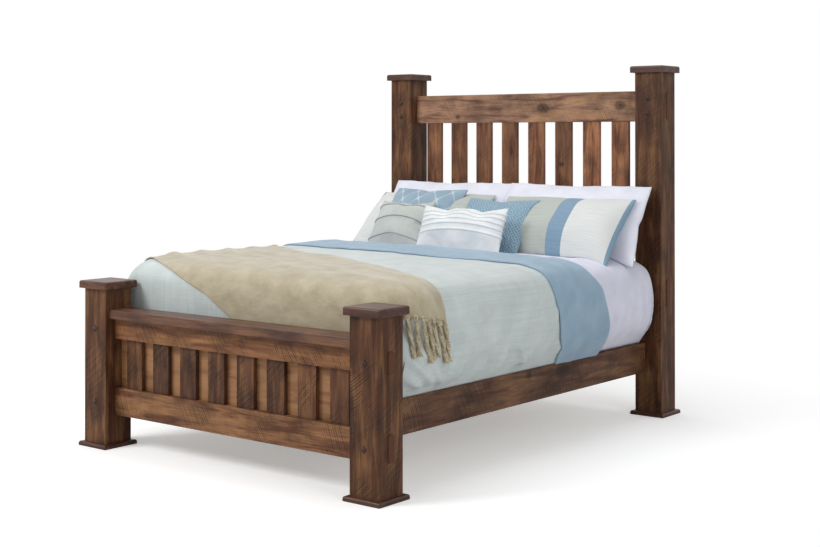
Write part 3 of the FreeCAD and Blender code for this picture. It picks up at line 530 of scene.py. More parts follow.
def side_share(base):
    """How far down the side each point is: none on top, all at the hem."""
    return ramp(SIDE_TOP - base[:, 2], SIDE_FALL)


def above_hem(base):
    """Little of the folds' height at the hem, which lies along the side rails, and all of it above."""
    return ramp(base[:, 2] - FOLD_HEM, FOLD_FALL, FOLD_LEAST)


def laid_cloth(name, node, grid, spread, lift, thickness, material):
    """A cloth cut square and laid over the bed: spread gives each point's share across and distance
    along, and lift how far it stands off the bed there. Its thickness goes inward from its face."""
    mesh = bpy.data.meshes.new(name)
    with editing(mesh) as edit:
        bmesh.ops.create_grid(edit, x_segments=grid[0], y_segments=grid[1], size=0.5)
        flat = np.array([v.co[:2] for v in edit.verts]) + 0.5
        across, along = spread(flat[:, 0], flat[:, 1])
        base = read_table(surface, across, along)
        laid = base + read_table(outward, across, along) * lift(base)[:, None]
        cut = np.stack([read_table(across_run, across, along), along], 1)
        for vertex, place in zip(edit.verts, laid):
            vertex.co = place
        uv = edit.loops.layers.uv.new("cut")
        for face in edit.faces:
            for loop in face.loops:
                loop[uv].uv = cut[loop.vert.index]
        worn = [face for face in edit.faces if face.calc_area() < WORN_AREA]
        bmesh.ops.delete(edit, geom=worn, context="FACES")
        bmesh.ops.remove_doubles(edit, verts=edit.verts, dist=MERGE_REACH)
        bmesh.ops.recalc_face_normals(edit, faces=edit.faces)
    piece = link(name, mesh, "mattress_set")
    solid = piece.modifiers.new("thickness", "SOLIDIFY")
    solid.thickness = thickness
    solid.offset = -1.0
    mesh.materials.append(material)
    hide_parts(node)
    return piece


def sheet_lift(base):
    """Upright folds on the sides of the sheet, deeper below its middle and gone at the hem."""
    wave = np.sin(base[:, 1] * SHEET_WAVES + 3.0 * rumple(base, 0.25, 3.1))
    folds = (0.5 - np.abs(wave)) * side_share(base) * SHEET_FOLD
    loose = ramp(base[:, 1] - LOOSE_FROM, 0.3)
    puckers = 0.003 * rumple(base, 0.055, 4.9, (1.0, 1.0, 0.4)) * loose
    return (folds + puckers + 0.0015 * rumple(base, 0.12, 5.7)) * above_hem(base)


def sheet_spread(u, v):
    """The sheet covers the bed from the foot to the head and down both ends."""
    return u, -SHEET_WALL + v * (BED_LENGTH + 2 * SHEET_WALL)


sheet = laid_cloth("cotton_sheet", "fitted_sheet", (170, 190), sheet_spread, sheet_lift,
                   0.0018, woven("cotton_percale_lavender", SHEET, rough=0.75, sheen=0.15)[0])


# Duvet
# A filled comforter faced with pale aqua shantung silk, whose uneven slub threads run across the
# bed. It hangs over both sides to the rails and is tucked in at the foot.

DUVET = "c6d0cf"
DUVET_LIFT = 0.0145
DUVET_EDGE = ((0.900, 0.405), (0.835, 0.400), (0.790, 0.405), (0.710, 0.485), (0.560, 0.535),
              (0.430, 0.580), (0.330, 0.585))
DUVET_FOOT = -0.40
# Distance along the bed at which the outline turns an edge's heights into shares across it
HEAD_ROW = 1.2
# Creases on the right side as place and height of both ends, height of the fold and its width
CREASES = (
    ((-1.005, 0.560), (-0.790, 0.430), 0.0100, 0.018), ((-1.037, 0.500), (-0.870, 0.425), 0.0090, 0.016),
    ((-0.960, 0.600), (-0.700, 0.405), 0.0080, 0.016), ((-0.647, 0.610), (-0.682, 0.390), 0.0070, 0.016),
    ((-0.599, 0.560), (-0.640, 0.390), 0.0080, 0.014), ((-0.731, 0.580), (-0.752, 0.400), 0.0060, 0.014),
    ((-0.379, 0.570), (-0.540, 0.520), 0.0060, 0.014), ((-0.038, 0.530), (-0.180, 0.430), 0.0070, 0.016),
    ((-0.225, 0.540), (-0.110, 0.420), 0.0070, 0.014), ((-0.370, 0.740), (-0.600, 0.600), 0.0050, 0.020),
    ((-0.010, 0.710), (-0.150, 0.570), 0.0050, 0.018), ((0.080, 0.640), (0.020, 0.400), 0.0060, 0.016),
    ((-0.300, 0.500), (-0.330, 0.385), 0.0070, 0.014), ((-0.450, 0.520), (-0.470, 0.385), 0.0080, 0.016),
    ((0.180, 0.560), (0.100, 0.390), 0.0060, 0.014), ((-0.550, 0.700), (-0.560, 0.500), 0.0040, 0.018))
CREASE_DEPTH = 2.5
CREASED_FROM = 0.6
LEFT_CREASE_SHIFT = 0.07
POST_FACE = -1.02
POST_RUN = 0.10


def edge_along(edge, across):
    """Distance along the bed of an edge whose side view is given by heights and places."""
    heights, places = zip(*sorted(edge))
    z = read_table(surface, across, np.full_like(across, HEAD_ROW))[:, 2]
    return np.interp(z, heights, places) - BED_START


def creases(base, side, shift):
    """Long soft folds of the duvet on one side, moved along the bed."""
    place, height = base[:, 1] - shift, base[:, 2]
    raised = np.zeros(len(base))
    for (y0, z0), (y1, z1), fold, width in CREASES:
        run = np.array([y1 - y0, z1 - z0])
        share = np.clip(((place - y0) * run[0] + (height - z0) * run[1]) / (run @ run), 0, 1)
        off = np.hypot(place - y0 - share * run[0], height - z0 - share * run[1])
        raised += fold * np.exp(-(off / width) ** 2) * (0.35 + 0.65 * np.sin(np.pi * (0.15 + 0.7 * share)))
    return raised * (base[:, 0] * side > CREASED_FROM)


def duvet_rumple(base):
    """Soft unevenness of the filled duvet: broad swells on top, creases and folds at the sides."""
    side = side_share(base)
    swells = 0.0045 * rumple(base, 0.30, 1.3) + 0.0026 * rumple(base, 0.09, 8.2, (1.0, 0.45, 1.0))
    wrinkles = 0.0030 * (0.5 - np.abs(rumple(base, 0.16, 6.6, (1.0, 0.6, 1.0))) * 2)
    slant = base[:, 1] * 30 + base[:, 2] * 24 + 2.5 * rumple(base, 0.22, 4.4)
    folds = 0.0035 * np.sin(slant) * side * (0.6 + 0.4 * rumple(base, 0.4, 2.9))
    pressed = CREASE_DEPTH * (creases(base, 1, 0.0) + creases(base, -1, LEFT_CREASE_SHIFT))
    by_post = ramp(base[:, 1] - POST_FACE, POST_RUN, FOLD_LEAST)
    raised = swells * (1 - 0.4 * side) + folds + pressed + wrinkles * (0.4 + 0.6 * side)
    return raised * above_hem(base) * by_post


def duvet_lift(base):
    """The duvet's face over the bed."""
    return DUVET_LIFT + duvet_rumple(base)


def duvet_spread(u, v):
    """The duvet runs from the tucked foot to its turned-back edge."""
    return u, DUVET_FOOT + v * (edge_along(DUVET_EDGE, u) - DUVET_FOOT)


shantung, shader, add, place, dyed = woven("silk_shantung_aqua", DUVET, rough=0.5, sheen=0.3,
                                           thread=0.0025, relief=0.0004)
slub_place = add("Mapping", {"Vector": place, "Scale": (3.0, 240.0, 1.0)})
slubs = add("TexNoise", {"Vector": slub_place, "Scale": 2.0, "Detail": 5.0, "Roughness": 0.7})
cross_place = add("Mapping", {"Vector": place, "Scale": (110.0, 2.0, 1.0)})
cross_slubs = add("TexNoise", {"Vector": cross_place, "Scale": 1.0, "Detail": 3.0})
both_slubs = add("Math", {0: cross_slubs, 1: 0.7, 2: slubs}, operation="MULTIPLY_ADD")
slub_tone = add("ValToRGB", {"Fac": both_slubs}, [
    (0.66, (0.86, 0.88, 0.89, 1)), (0.86, shade(1.0)), (1.05, (1.06, 1.06, 1.04, 1))])
set_sockets(shader, {"Base Color": add("MixRGB", {"Fac": 1.0, "Color1": dyed, "Color2": slub_tone},
                                       blend_type="MULTIPLY")})
duvet = laid_cloth("shantung_duvet", "duvet", (210, 150), duvet_spread, duvet_lift,
                   0.012, shantung)


# Turned-back end of the duvet
# The head end of the duvet folded over towards the foot, which shows its grey-blue lining. The
# fold is full, and its edges are rounded.

LINING = "8ba8bd"
TURN_LIFT = 0.0245
TURN_EDGE = ((0.900, 0.025), (0.760, 0.055), (0.640, 0.085), (0.510, 0.120), (0.380, 0.205), (0.330, 0.225))
TURN_FOLD = 0.010
TURN_WAVES = 24
TURN_LAP = 0.004


def turn_lift(base):
    """The band's face over the duvet, with soft folds along the bed on the side."""
    side = side_share(base)
    waves = np.abs(np.sin(base[:, 1] * TURN_WAVES + 5 * base[:, 2] + 2.0 * rumple(base, 0.3, 7.7)))
    folds = (0.5 - waves) * side * TURN_FOLD * above_hem(base)
    top = 0.0025 * rumple(base, 0.07, 5.1, (0.35, 1.0, 1.0)) * (1 - side)
    return TURN_LIFT + duvet_rumple(base) + folds + top + 0.0012 * rumple(base, 0.1, 9.3)


def turn_spread(u, v):
    """The band lies between its own edge and the fold."""
    low = edge_along(TURN_EDGE, u)
    return u, low + v * (edge_along(DUVET_EDGE, u) + TURN_LAP - low)


turnback = laid_cloth("turned_back_end", "duvet_turnback", (130, 26), turn_spread, turn_lift,
                      0.0095, woven("cotton_sateen_grey_blue", LINING, rough=0.55, sheen=0.25)[0])
rounded = turnback.modifiers.new("round", "SUBSURF")
rounded.levels = rounded.render_levels = 1


# Throw
# A beige chenille throw laid slantwise over the foot of the bed. Its soft cut pile catches the
# light, and the lighter and darker patches where the pile lies different ways are painted sheen and
# shade in its colour. It lies in long loose folds, and hangs over the foot and the right side.

THROW = "bcb197"
THROW_SHADE = "a5997e"
THROW_LIFT = 0.0195
THROW_FOLD = 0.012
# Places across the bed with those of the throw's edges along it, and with its drop over the foot
THROW_HEAD = ((-0.96, 0.040), (-0.64, -0.150), (-0.352, -0.300), (0.0, -0.400), (0.380, -0.575),
              (0.660, -0.700), (0.850, -0.762), (1.1, -0.770))
THROW_FOOT = ((-0.96, -0.840), (-0.620, -0.972), (-0.505, -1.0085))
THROW_DROP = ((-0.505, 0.0), (-0.305, 0.055), (-0.040, 0.195), (0.110, 0.300), (1.0, 0.310))
HEM_LEFT = 0.712
HEM_FOOT = 0.730
HEM_HEAD = 0.674
# Distances along the bed at which its outline gives the heights of the hems and the places across
HEM_ROW = 0.25
MIDDLE_ROW = 0.5
THROW_WAVES = 42


def hem_share(height, side):
    """Share across the bed where one of its sides is at a height."""
    share = np.linspace(0, 0.4, 400) if side < 0 else np.linspace(1, 0.6, 400)
    z = read_table(surface, share, np.full_like(share, HEM_ROW))[:, 2]
    return float(np.interp(height, z, share))


throw_left = hem_share(HEM_LEFT, -1)
throw_right_foot, throw_right_head = hem_share(HEM_FOOT, 1), hem_share(HEM_HEAD, 1)


def throw_spread(u, v):
    """The throw lies between its slanting head edge and its foot edge, which goes over the end."""
    right = throw_right_foot + v * (throw_right_head - throw_right_foot)
    across = throw_left + u * (right - throw_left)
    x = read_table(surface, across, np.full_like(across, MIDDLE_ROW))[:, 0]
    drop = np.interp(x, *zip(*THROW_DROP))
    foot = np.interp(x, *zip(*THROW_FOOT)) - BED_START - np.where(x > THROW_DROP[0][0], drop, 0.0)
    foot *= ramp(0.90 - x, 0.16)
    head = np.interp(x, *zip(*THROW_HEAD)) - BED_START
    return across, foot + v * (head - foot)


def throw_lift(base):
    """Long folds that run with the throw, always standing up from the duvet."""
    slant = base[:, 1] * 0.9 + base[:, 0] * 0.42
    warped = slant * THROW_WAVES + 3.4 * rumple(base, 0.35, 6.1)
    ridges = (0.5 + 0.5 * np.sin(warped)) ** 2 * (0.5 + 0.5 * rumple(base, 0.28, 2.2))
    gathers = 0.0045 * np.abs(rumple(base, 0.11, 7.4, (0.6, 1.0, 1.0)))
    small = 0.0012 * rumple(base, 0.04, 3.9)
    return THROW_LIFT + duvet_rumple(base) + THROW_FOLD * np.clip(ridges, 0, 1) + gathers + small


chenille, shader, add, place, dyed = woven("cotton_chenille_beige", THROW, rough=0.95, sheen=0.6,
                                           thread=0.006, relief=0.0012)
pile = add("TexNoise", {"Vector": place, "Scale": 160.0, "Detail": 5.0, "Roughness": 0.7})
nap_place = add("Mapping", {"Vector": place, "Rotation": (0, 0, 0.5), "Scale": (0.7, 1.5, 1.0)})
nap = add("TexNoise", {"Vector": nap_place, "Scale": 11.0, "Detail": 6.0, "Roughness": 0.62})
# The nap patches paint sheen and shade of pile lying different ways into the colour; the fine pile speckle
# is the yarn's own uneven tone. Both also raise the bump.
pile_nap_sheen = add("Math", {0: pile, 1: 0.35, 2: nap}, operation="MULTIPLY_ADD")
set_sockets(shader, {
    "Base Color": add("ValToRGB", {"Fac": pile_nap_sheen}, [(0.52, linear(THROW_SHADE)), (0.82, linear(THROW))]),
    "Normal": add("Bump", {"Height": pile_nap_sheen, "Strength": 0.6, "Distance": 0.003})})
throw = laid_cloth("chenille_throw", "throw", (190, 84), throw_spread, throw_lift,
                   0.004, chenille)


# Fringe of the throw
# Seven thick tassels knotted along the side hem, each three chenille yarns twisted into a rope with
# a frayed end. They hang over the duvet and lean towards the head, as they were laid.

TASSELS = 7
TASSEL_SHARES = (1.0, 0.93, 1.06, 0.97, 0.88)
TASSEL_LENGTH = 0.190
TASSEL_LEAN = math.radians(14)
FRINGE_START = -1.022
FRINGE_RUN = 0.232
HEM_RUN = 0.245
KNOT_RISE = 0.004
ROPE_OUT = 0.0085
ROPE_RADIUS = 0.0092
TWIST_TURNS = 2.6
ROPE_SIDES = 18
ROPE_RINGS = 56


def rope_radius(share, angle, seed):
    """Radius of a tassel: a round knot, three twisted lobes, and a fuller loose end."""
    lobes = 1.0 + 0.26 * math.cos(3 * angle - math.tau * TWIST_TURNS * share + seed)
    knot = 0.42 * math.exp(-((share - 0.07) / 0.04) ** 2)
    neck = -0.30 * math.exp(-((share - 0.15) / 0.03) ** 2)
    end = 0.30 * max(0.0, (share - 0.80) / 0.20) ** 1.5
    tuft = 0.10 * noise.noise(Vector((share * 26, angle * 1.4, seed)))
    return ROPE_RADIUS * (lobes + knot + neck + end + tuft)


def tassel(edit, x, y, top, length, seed):
    """One twisted tassel, a ring of points drawn down and turned."""
    start = bmesh.ops.create_circle(edit, cap_ends=True, segments=ROPE_SIDES, radius=ROPE_RADIUS)["verts"]
    edges = list({edge for vertex in start for edge in vertex.link_edges})
    rings = [start]
    for _ in range(ROPE_RINGS):
        made = bmesh.ops.extrude_edge_only(edit, edges=edges)["geom"]
        edges = [g for g in made if isinstance(g, bmesh.types.BMEdge)]
        rings.append([g for g in made if isinstance(g, bmesh.types.BMVert)])
    bmesh.ops.contextual_create(edit, geom=edges)
    for index, ring in enumerate(rings):
        share = index / ROPE_RINGS
        sway = 0.010 * math.sin(2.6 * share + seed) * share
        down = length * share
        for vertex in ring:
            angle = math.atan2(vertex.co.y, vertex.co.x)
            radius = rope_radius(share, angle, seed)
            vertex.co = (x + radius * math.cos(angle), y + down * math.sin(TASSEL_LEAN) + sway
                         + radius * math.sin(angle), top - down * math.cos(TASSEL_LEAN))


fringe_mesh = bpy.data.meshes.new("throw_fringe")
duvet_tree = BVHTree.FromObject(duvet, bpy.context.evaluated_depsgraph_get())
with editing(fringe_mesh) as edit:
    for index in range(TASSELS):
        y = FRINGE_START + FRINGE_RUN * index / (TASSELS - 1)
        top = HEM_FOOT + (y - BED_START) / HEM_RUN * (HEM_HEAD - HEM_FOOT) + KNOT_RISE
        length = TASSEL_LENGTH * TASSEL_SHARES[index % len(TASSEL_SHARES)]
        reach = max(duvet_tree.ray_cast(Vector((1.5, y + 0.25 * length * share, top - length * share)),
                                        Vector((-1, 0, 0)))[0].x for share in (0.1, 0.3, 0.5, 0.7, 0.9))
        tassel(edit, reach + ROPE_OUT, y, top, length, index * 2.4)
    bmesh.ops.recalc_face_normals(edit, faces=edit.faces)
fringe = link("throw_fringe", fringe_mesh, "mattress_set")
yarn, shader, add = new_material("twisted_chenille_yarn")
yarn_pile = add("TexNoise", {"Vector": add("TexCoord", take="Object"), "Scale": 190.0, "Detail": 4.0})
set_sockets(shader, {
    "Base Color": add("ValToRGB", {"Fac": yarn_pile}, [(0.36, linear("8a7b5c")), (0.62, linear("cabd9f"))]),
    "Normal": add("Bump", {"Height": yarn_pile, "Strength": 0.9, "Distance": 0.003}),
    "Roughness": 0.9, "Sheen Weight": 0.4})
fringe_mesh.materials.append(yarn)
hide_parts("throw_tassels")


# Sleeping pillows
# Two plump white pillows in percale covers, which lean back against the headboard. Each is a flat
# bag sewn round its edge and stuffed, so its sides draw in between the corners and its seam puckers.

BAG_EASE = 1.07
BAG_START = 0.35
FILL_FRAMES = 22
SEAM = 0.007
DRAW_IN = 0.35
SKIN = 0.001
BED_SHOULDER = 0.84
OUTER_SPREAD = 0.033
FOOT_SINK = 0.006
FOOT_SAG = 0.012
# Places across the bed and how far its rounded edges have dropped there
BED_EDGE_DROP = ((-0.88, 0.045), (-0.84, 0.030), (-0.78, 0.0), (0.70, 0.0), (0.76, 0.012),
                 (0.84, 0.042), (0.90, 0.05))
# Width, the foot edge and the top edge as place along the bed and height, and the depths in front
# and behind
SLEEPING = (0.860, (0.782, 0.858), (1.036, 1.200), 0.062, 0.058)


def stuffed(name, node, shape, body, covers, columns=44, rows=26, reach=(0.0, 0.0, 0.0)):
    """A sewn bag swollen by its filling, leaned back where its solid stands and fitted inside it.
    Covers are its front and back cloth, and reach is how far it goes past its solid."""
    width, foot_edge, top_edge, front, back = shape
    height = math.dist(foot_edge, top_edge)
    mesh = bpy.data.meshes.new(name)
    with editing(mesh) as edit:
        bmesh.ops.create_grid(edit, x_segments=columns, y_segments=rows, size=0.5)
        uv = edit.loops.layers.uv.new("cut")
        for face in edit.faces:
            for loop in face.loops:
                loop[uv].uv = (loop.vert.co.x * width, loop.vert.co.y * height)
        bmesh.ops.scale(edit, verts=edit.verts, vec=(width * BAG_EASE, height * BAG_EASE, 1))
        behind = bmesh.ops.duplicate(edit, geom=[*edit.verts, *edit.edges, *edit.faces])["geom"]
        behind_verts = {g for g in behind if isinstance(g, bmesh.types.BMVert)}
        behind_faces = [g for g in behind if isinstance(g, bmesh.types.BMFace)]
        start = BAG_START
        for vertex in edit.verts:
            u, v = 2 * vertex.co.x / (width * BAG_EASE), 2 * vertex.co.y / (height * BAG_EASE)
            full = max(0.0, (1 - u * u) * (1 - v * v)) ** 0.5
            vertex.co.z = full * start * (-back if vertex in behind_verts else front)
        bmesh.ops.reverse_faces(edit, faces=behind_faces)
        for face in behind_faces:
            face.material_index = 1
        bmesh.ops.remove_doubles(edit, verts=edit.verts, dist=1e-5)
        flat = np.array([v.co[:2] for v in edit.verts]) / BAG_EASE
    piece = link(name, mesh, body)
    fill_bag(piece)
    fit_bag(piece, node, flat, shape)
    fine = piece.modifiers.new("round", "SUBSURF")
    fine.levels = fine.render_levels = 1
    settle(piece)
    fill_out(piece, node, *reach)
    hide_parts(node)
    for cover in covers:
        piece.data.materials.append(cover)
    return piece


def fill_bag(piece):
    """Swell a sewn bag by pressure from inside."""
    settings = piece.modifiers.new("filling", "CLOTH").settings
    settings.quality = 6
    settings.mass = 0.3
    settings.tension_stiffness = settings.compression_stiffness = 20
    settings.shear_stiffness = 8
    settings.bending_stiffness = 0.15
    settings.use_pressure = True
    settings.uniform_pressure_force = 6.0
    settings.effector_weights.gravity = 0
    for frame_number in range(1, FILL_FRAMES + 1):
        bpy.context.scene.frame_set(frame_number)
    settle(piece)
    bpy.context.scene.frame_set(1)


def fit_bag(piece, node, flat, shape):
    """Bring a filled bag to its place, and keep it inside the solid that it replaces."""
    _, foot_edge, top_edge, front, back = shape
    low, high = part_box(node)
    height = math.dist(foot_edge, top_edge)
    lean = math.atan2(top_edge[1] - foot_edge[1], top_edge[0] - foot_edge[0])
    place = np.array([v.co[:] for v in piece.data.vertices])
    lows, highs = place.min(0), place.max(0)
    for axis in (0, 1):
        place[:, axis] -= (lows[axis] + highs[axis]) / 2
        place[:, axis] *= np.ptp(flat[:, axis]) / (highs[axis] - lows[axis])
    place[:, :2] = flat + (place[:, :2] - flat) * DRAW_IN
    place[:, 2] = np.where(place[:, 2] > 0, place[:, 2] * front / highs[2], -place[:, 2] * back / lows[2])
    drop = foot_edge[1] + height * math.sin(lean) + SEAM * math.cos(lean) - high[2]
    up = place[:, 1] + height / 2
    x = (low[0] + high[0]) / 2 + place[:, 0]
    y = foot_edge[0] + up * math.cos(lean) - place[:, 2] * math.sin(lean)
    z = foot_edge[1] - drop + up * math.sin(lean) + place[:, 2] * math.cos(lean)
    solid = bmesh.new()
    solid.from_mesh(nodes[node].data)
    bmesh.ops.remove_doubles(solid, verts=solid.verts, dist=1e-5)
    tree = BVHTree.FromBMesh(solid)
    solid.free()
    for vertex, at in zip(piece.data.vertices, zip(x, y, z)):
        point = Vector(at)
        nearest, normal, _, distance = tree.find_nearest(point)
        outside = (point - nearest).dot(normal) > 0
        vertex.co = nearest + (point - nearest).normalized() * SKIN if outside and distance > SKIN else point
    relax(piece.data, 1)


def fill_out(piece, node, left, right, behind):
    """Stretch a finished bag to the reach of its solid, a little past it at the named sides, press its
    foot edge into the bedding, and let its corners down and out on the rounded edges of the bed."""
    low, high = (np.array(corner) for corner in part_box(node))
    low[2] -= FOOT_SINK
    low[0] -= left
    high[0] += right
    high[1] += behind
    place = np.array([v.co[:] for v in piece.data.vertices])
    lows, highs = place.min(0), place.max(0)
    share = (place - lows) / (highs - lows)
    place = low + share * (high - low)
    place[:, 2] -= FOOT_SAG * (1 - share[:, 2]) ** 8 * (1 - (2 * share[:, 0] - 1) ** 2)
    place[:, 2] -= np.interp(place[:, 0], *zip(*BED_EDGE_DROP)) * (1 - share[:, 2]) ** 1.5
    spread = OUTER_SPREAD * (1 - share[:, 2]) ** 0.7
    place[:, 0] += spread * share[:, 0] ** 6 * (high[0] > BED_SHOULDER)
    place[:, 0] -= spread * (1 - share[:, 0]) ** 6 * (low[0] < -BED_SHOULDER)
    for vertex, at in zip(piece.data.vertices, place):
        vertex.co = at


def crimp(piece, depth, height_at):
    """Raise folds on a cushion along its surface, from its flat cut."""
    with editing(piece.data) as edit:
        uv = edit.loops.layers.uv.active
        raised = [(v, v.normal * depth * height_at(*v.link_loops[0][uv].uv)) for v in edit.verts]
        for vertex, move in raised:
            vertex.co += move
    piece.data.shade_smooth()


def pillow_creases(x, y):
    """Height of the broad creases of a soft cover, with finer ones over them."""
    broad = noise.noise(Vector((x * 5, y * 11, 1.7)))
    return broad + 0.5 * noise.noise(Vector((x * 14, y * 9, 6.0)))


percale = woven("cotton_percale_white", "e2e4f0", rough=0.8, sheen=0.15)[0]
for side, reach in (("left", (-0.045, 0.014, 0.0)), ("right", (0.014, 0.010, 0.0))):
    pillow = stuffed("sleeping_pillow_%s_soft" % side, "sleeping_pillow_" + side, SLEEPING, "back_pillows",
                     (percale, percale), reach=reach)
    crimp(pillow, 0.005, pillow_creases)


# Striped shams
# Two covers pieced from three cloths: sage linen inside, a grey-blue stripe, and slubbed off-white
# linen outside. The grey-blue back is turned over the outer edge as a narrow border.

SHAM = (0.791, (0.640, 0.858), (0.932, 1.136), 0.092, 0.040)
SAGE = "b9beb8"
STRIPE = "829db4"
OFF_WHITE = "dcdedd"
STRIPE_FROM = 0.030
STRIPE_TO = 0.120
EDGE_FROM = 0.368
LINEN = {"rough": 0.85, "sheen": 0.15, "thread": 0.0024, "relief": 0.0005}


def panel_cloth(name, outer_side):
    """Three slubbed cloths sewn side by side, and the border at the outer edge."""
    material, shader, add, place, _ = woven(name, OFF_WHITE, **LINEN)
    across = add("SeparateXYZ", {0: place})
    outward_run = add("Math", {0: across, 1: outer_side}, operation="MULTIPLY")
    pieced = linear(SAGE)
    for start, colour in ((STRIPE_FROM, STRIPE), (STRIPE_TO, OFF_WHITE), (EDGE_FROM, STRIPE)):
        past = add("Math", {0: outward_run, 1: start}, operation="GREATER_THAN")
        pieced = add("MixRGB", {"Fac": past, "Color1": pieced, "Color2": linear(colour)})
    slub_place = add("Mapping", {"Vector": place, "Scale": (6.0, 260.0, 1.0)})
    slub = add("TexNoise", {"Vector": slub_place, "Scale": 1.0, "Detail": 4.0})
    tone = add("ValToRGB", {"Fac": slub}, [(0.35, (0.88, 0.89, 0.88, 1)), (0.6, shade(1.0))])
    set_sockets(shader, {"Base Color": add("MixRGB", {"Fac": 1.0, "Color1": pieced, "Color2": tone},
                                           blend_type="MULTIPLY")})
    return material


def sham_creases(x, y):
    """Height of the soft unevenness of a sham's cover."""
    return noise.noise(Vector((x * 7, y * 8, 2.2)))


sham_back = woven("slub_linen_grey_blue", STRIPE, **LINEN)[0]
for side, outer_side, reach in (("left", -1.0, (0.0, 0.0, 0.0)), ("right", 1.0, (0.0, 0.006, 0.006))):
    covers = (panel_cloth("pieced_linen_" + side, outer_side), sham_back)
    sham = stuffed("striped_sham_%s_soft" % side, "striped_sham_" + side, SHAM, "back_pillows",
                   covers, reach=reach)
    crimp(sham, 0.004, sham_creases)


# Square cushions of the back row
# A grey-blue cushion embroidered with a light lattice of curved diamonds, and a deeper blue one in
# a basket weave set on the slant. The weave is drawn at twice its real pitch, or it wouldn't show.

LATTICE = (0.500, (0.596, 0.866), (0.880, 1.170), 0.072, 0.044)
WEAVE = (0.460, (0.586, 0.866), (0.813, 1.130), 0.070, 0.044)
LATTICE_PITCH = 0.115
LATTICE_HEIGHT = LATTICE_PITCH * 1.35
WEAVE_PITCH = 0.026

lattice, shader, add, place, dyed = woven("embroidered_cotton_lattice", "8ba3b4", rough=0.8, sheen=0.2,
                                          thread=0.0024, relief=0.0005)
parts = add("SeparateXYZ", {0: place}, take=None)
turns = [add("Math", {0: part, 1: math.tau / pitch}, operation="MULTIPLY")
         for part, pitch in zip(parts, (LATTICE_PITCH, LATTICE_HEIGHT))]
waves = [add("Math", {0: turn}, operation="COSINE") for turn in turns]
ogee = add("Math", {0: waves[0], 1: waves[1]}, operation="ADD")
ogee_off = add("Math", {0: ogee}, operation="ABSOLUTE")
ogee_line = add("ValToRGB", {"Fac": ogee_off}, [(0.06, shade(1.0)), (0.16, shade(0.0))])
set_sockets(shader, {
    "Base Color": add("MixRGB", {"Fac": ogee_line, "Color1": dyed, "Color2": linear("b9c8cf")}),
    "Normal": add("Bump", {"Height": ogee_line, "Strength": 0.4, "Distance": 0.001})})
stuffed("lattice_cushion", "lattice_pillow", LATTICE, "back_pillows",
        (lattice, lattice), 34, 28)

basket, shader, add, place, _ = woven("basket_weave_cotton_blue", "7d9db1", rough=0.85, sheen=0.2,
                                      thread=0.003, relief=0.0005)
slanted = add("Mapping", {"Vector": place, "Rotation": (0, 0, math.pi / 4)})
checks = add("TexChecker", {"Vector": slanted, "Scale": 1 / WEAVE_PITCH}, take="Fac")
rib_x, rib_y = [add("TexWave", {"Vector": slanted, "Scale": WAVE_UNIT / (WEAVE_PITCH / 2)}, take="Fac",
                    bands_direction=way) for way in "XY"]
ribs = add("Mix", {0: checks, 2: rib_x, 3: rib_y})
set_sockets(shader, {
    "Base Color": add("ValToRGB", {"Fac": ribs}, [(0.05, linear("7292a7")), (0.55, linear("98b3c3"))]),
    "Normal": add("Bump", {"Height": ribs, "Strength": 0.9, "Distance": 0.003})})
stuffed("basket_weave_cushion", "weave_pillow", WEAVE, "weave_cushion",
        (basket, basket), 34, 28)


# Pleated and lumbar cushions
# The front row: a grey-green satin cushion with pressed cross pleats, and a small white oblong one
# whose cover is gathered into wavy pintucks.

PLEATED = (0.370, (0.545, 0.868), (0.700, 1.107), 0.062, 0.040)
LUMBAR = (0.547, (0.470, 0.872), (0.565, 1.102), 0.058, 0.042)
PLEATS = (0.105, 0.015, -0.085)
PLEAT_LAP = 0.045
PLEAT_BEND = 0.8
TUCKS = (0.098, 0.072, 0.044, 0.016, -0.018)
TUCK_RISE = 0.004
TUCK_WIDTH = 0.0055
TUCK_BEND = 0.30


def tuck_lines(cloth, places, bend, half, colour):
    """Darken the shadow line under each tuck of a cover."""
    material, shader, add, place, dyed = cloth
    parts = add("SeparateXYZ", {0: place}, take=None)
    squared = add("Math", {0: parts[0], 1: parts[0]}, operation="MULTIPLY")
    bent = add("Math", {0: squared, 1: bend, 2: parts[1]}, operation="MULTIPLY_ADD")
    for at in places:
        line = add("Math", {0: bent, 1: at, 2: half}, operation="COMPARE")
        dyed = add("MixRGB", {"Fac": line, "Color1": dyed, "Color2": linear(colour)})
    set_sockets(shader, {"Base Color": dyed})
    return material


def pleat(x, y):
    """Height of the three pressed tucks across the pleated cover, each lapped over what is below."""
    bend = y + PLEAT_BEND * x * x
    above = min((bend - place for place in PLEATS if place < bend), default=1.0)
    return max(0.0, 1.0 - above / PLEAT_LAP) + 0.2 * noise.noise(Vector((x * 60, y * 8, 2.0)))


def pintuck(x, y):
    """Height of the bent tucks across the upper half of the lumbar cover, and of its fine gathers."""
    bend = y + TUCK_BEND * x * x
    ridge = sum(math.exp(-((bend - place - TUCK_RISE) / TUCK_WIDTH) ** 2) for place in TUCKS)
    return ridge + 0.4 * noise.noise(Vector((x * 30, y * 12, 3.0)))


organza = tuck_lines(woven("pleated_organza_sage", "bac0bb", rough=0.6, sheen=0.3), PLEATS, PLEAT_BEND,
                     0.0018, "87908d")
pleated = stuffed("pleated_cushion_soft", "pleated_pillow", PLEATED, "pleated_cushion",
                  (organza, organza), 30, 44)
crimp(pleated, 0.006, pleat)
voile = tuck_lines(woven("gathered_cotton_voile", "e4e8ea", rough=0.8, sheen=0.2), TUCKS, TUCK_BEND,
                   0.0014, "c3c7ca")
lumbar = stuffed("pintucked_cushion", "lumbar_pillow", LUMBAR, "lumbar_cushion",
                 (voile, voile), 60, 40)
crimp(lumbar, 0.0050, pintuck)


# Studio
# A white floor that runs into a white surround, one large soft key lamp at the front left, a
# weaker fill at the right and one overhead, and the camera where the photograph was taken from.

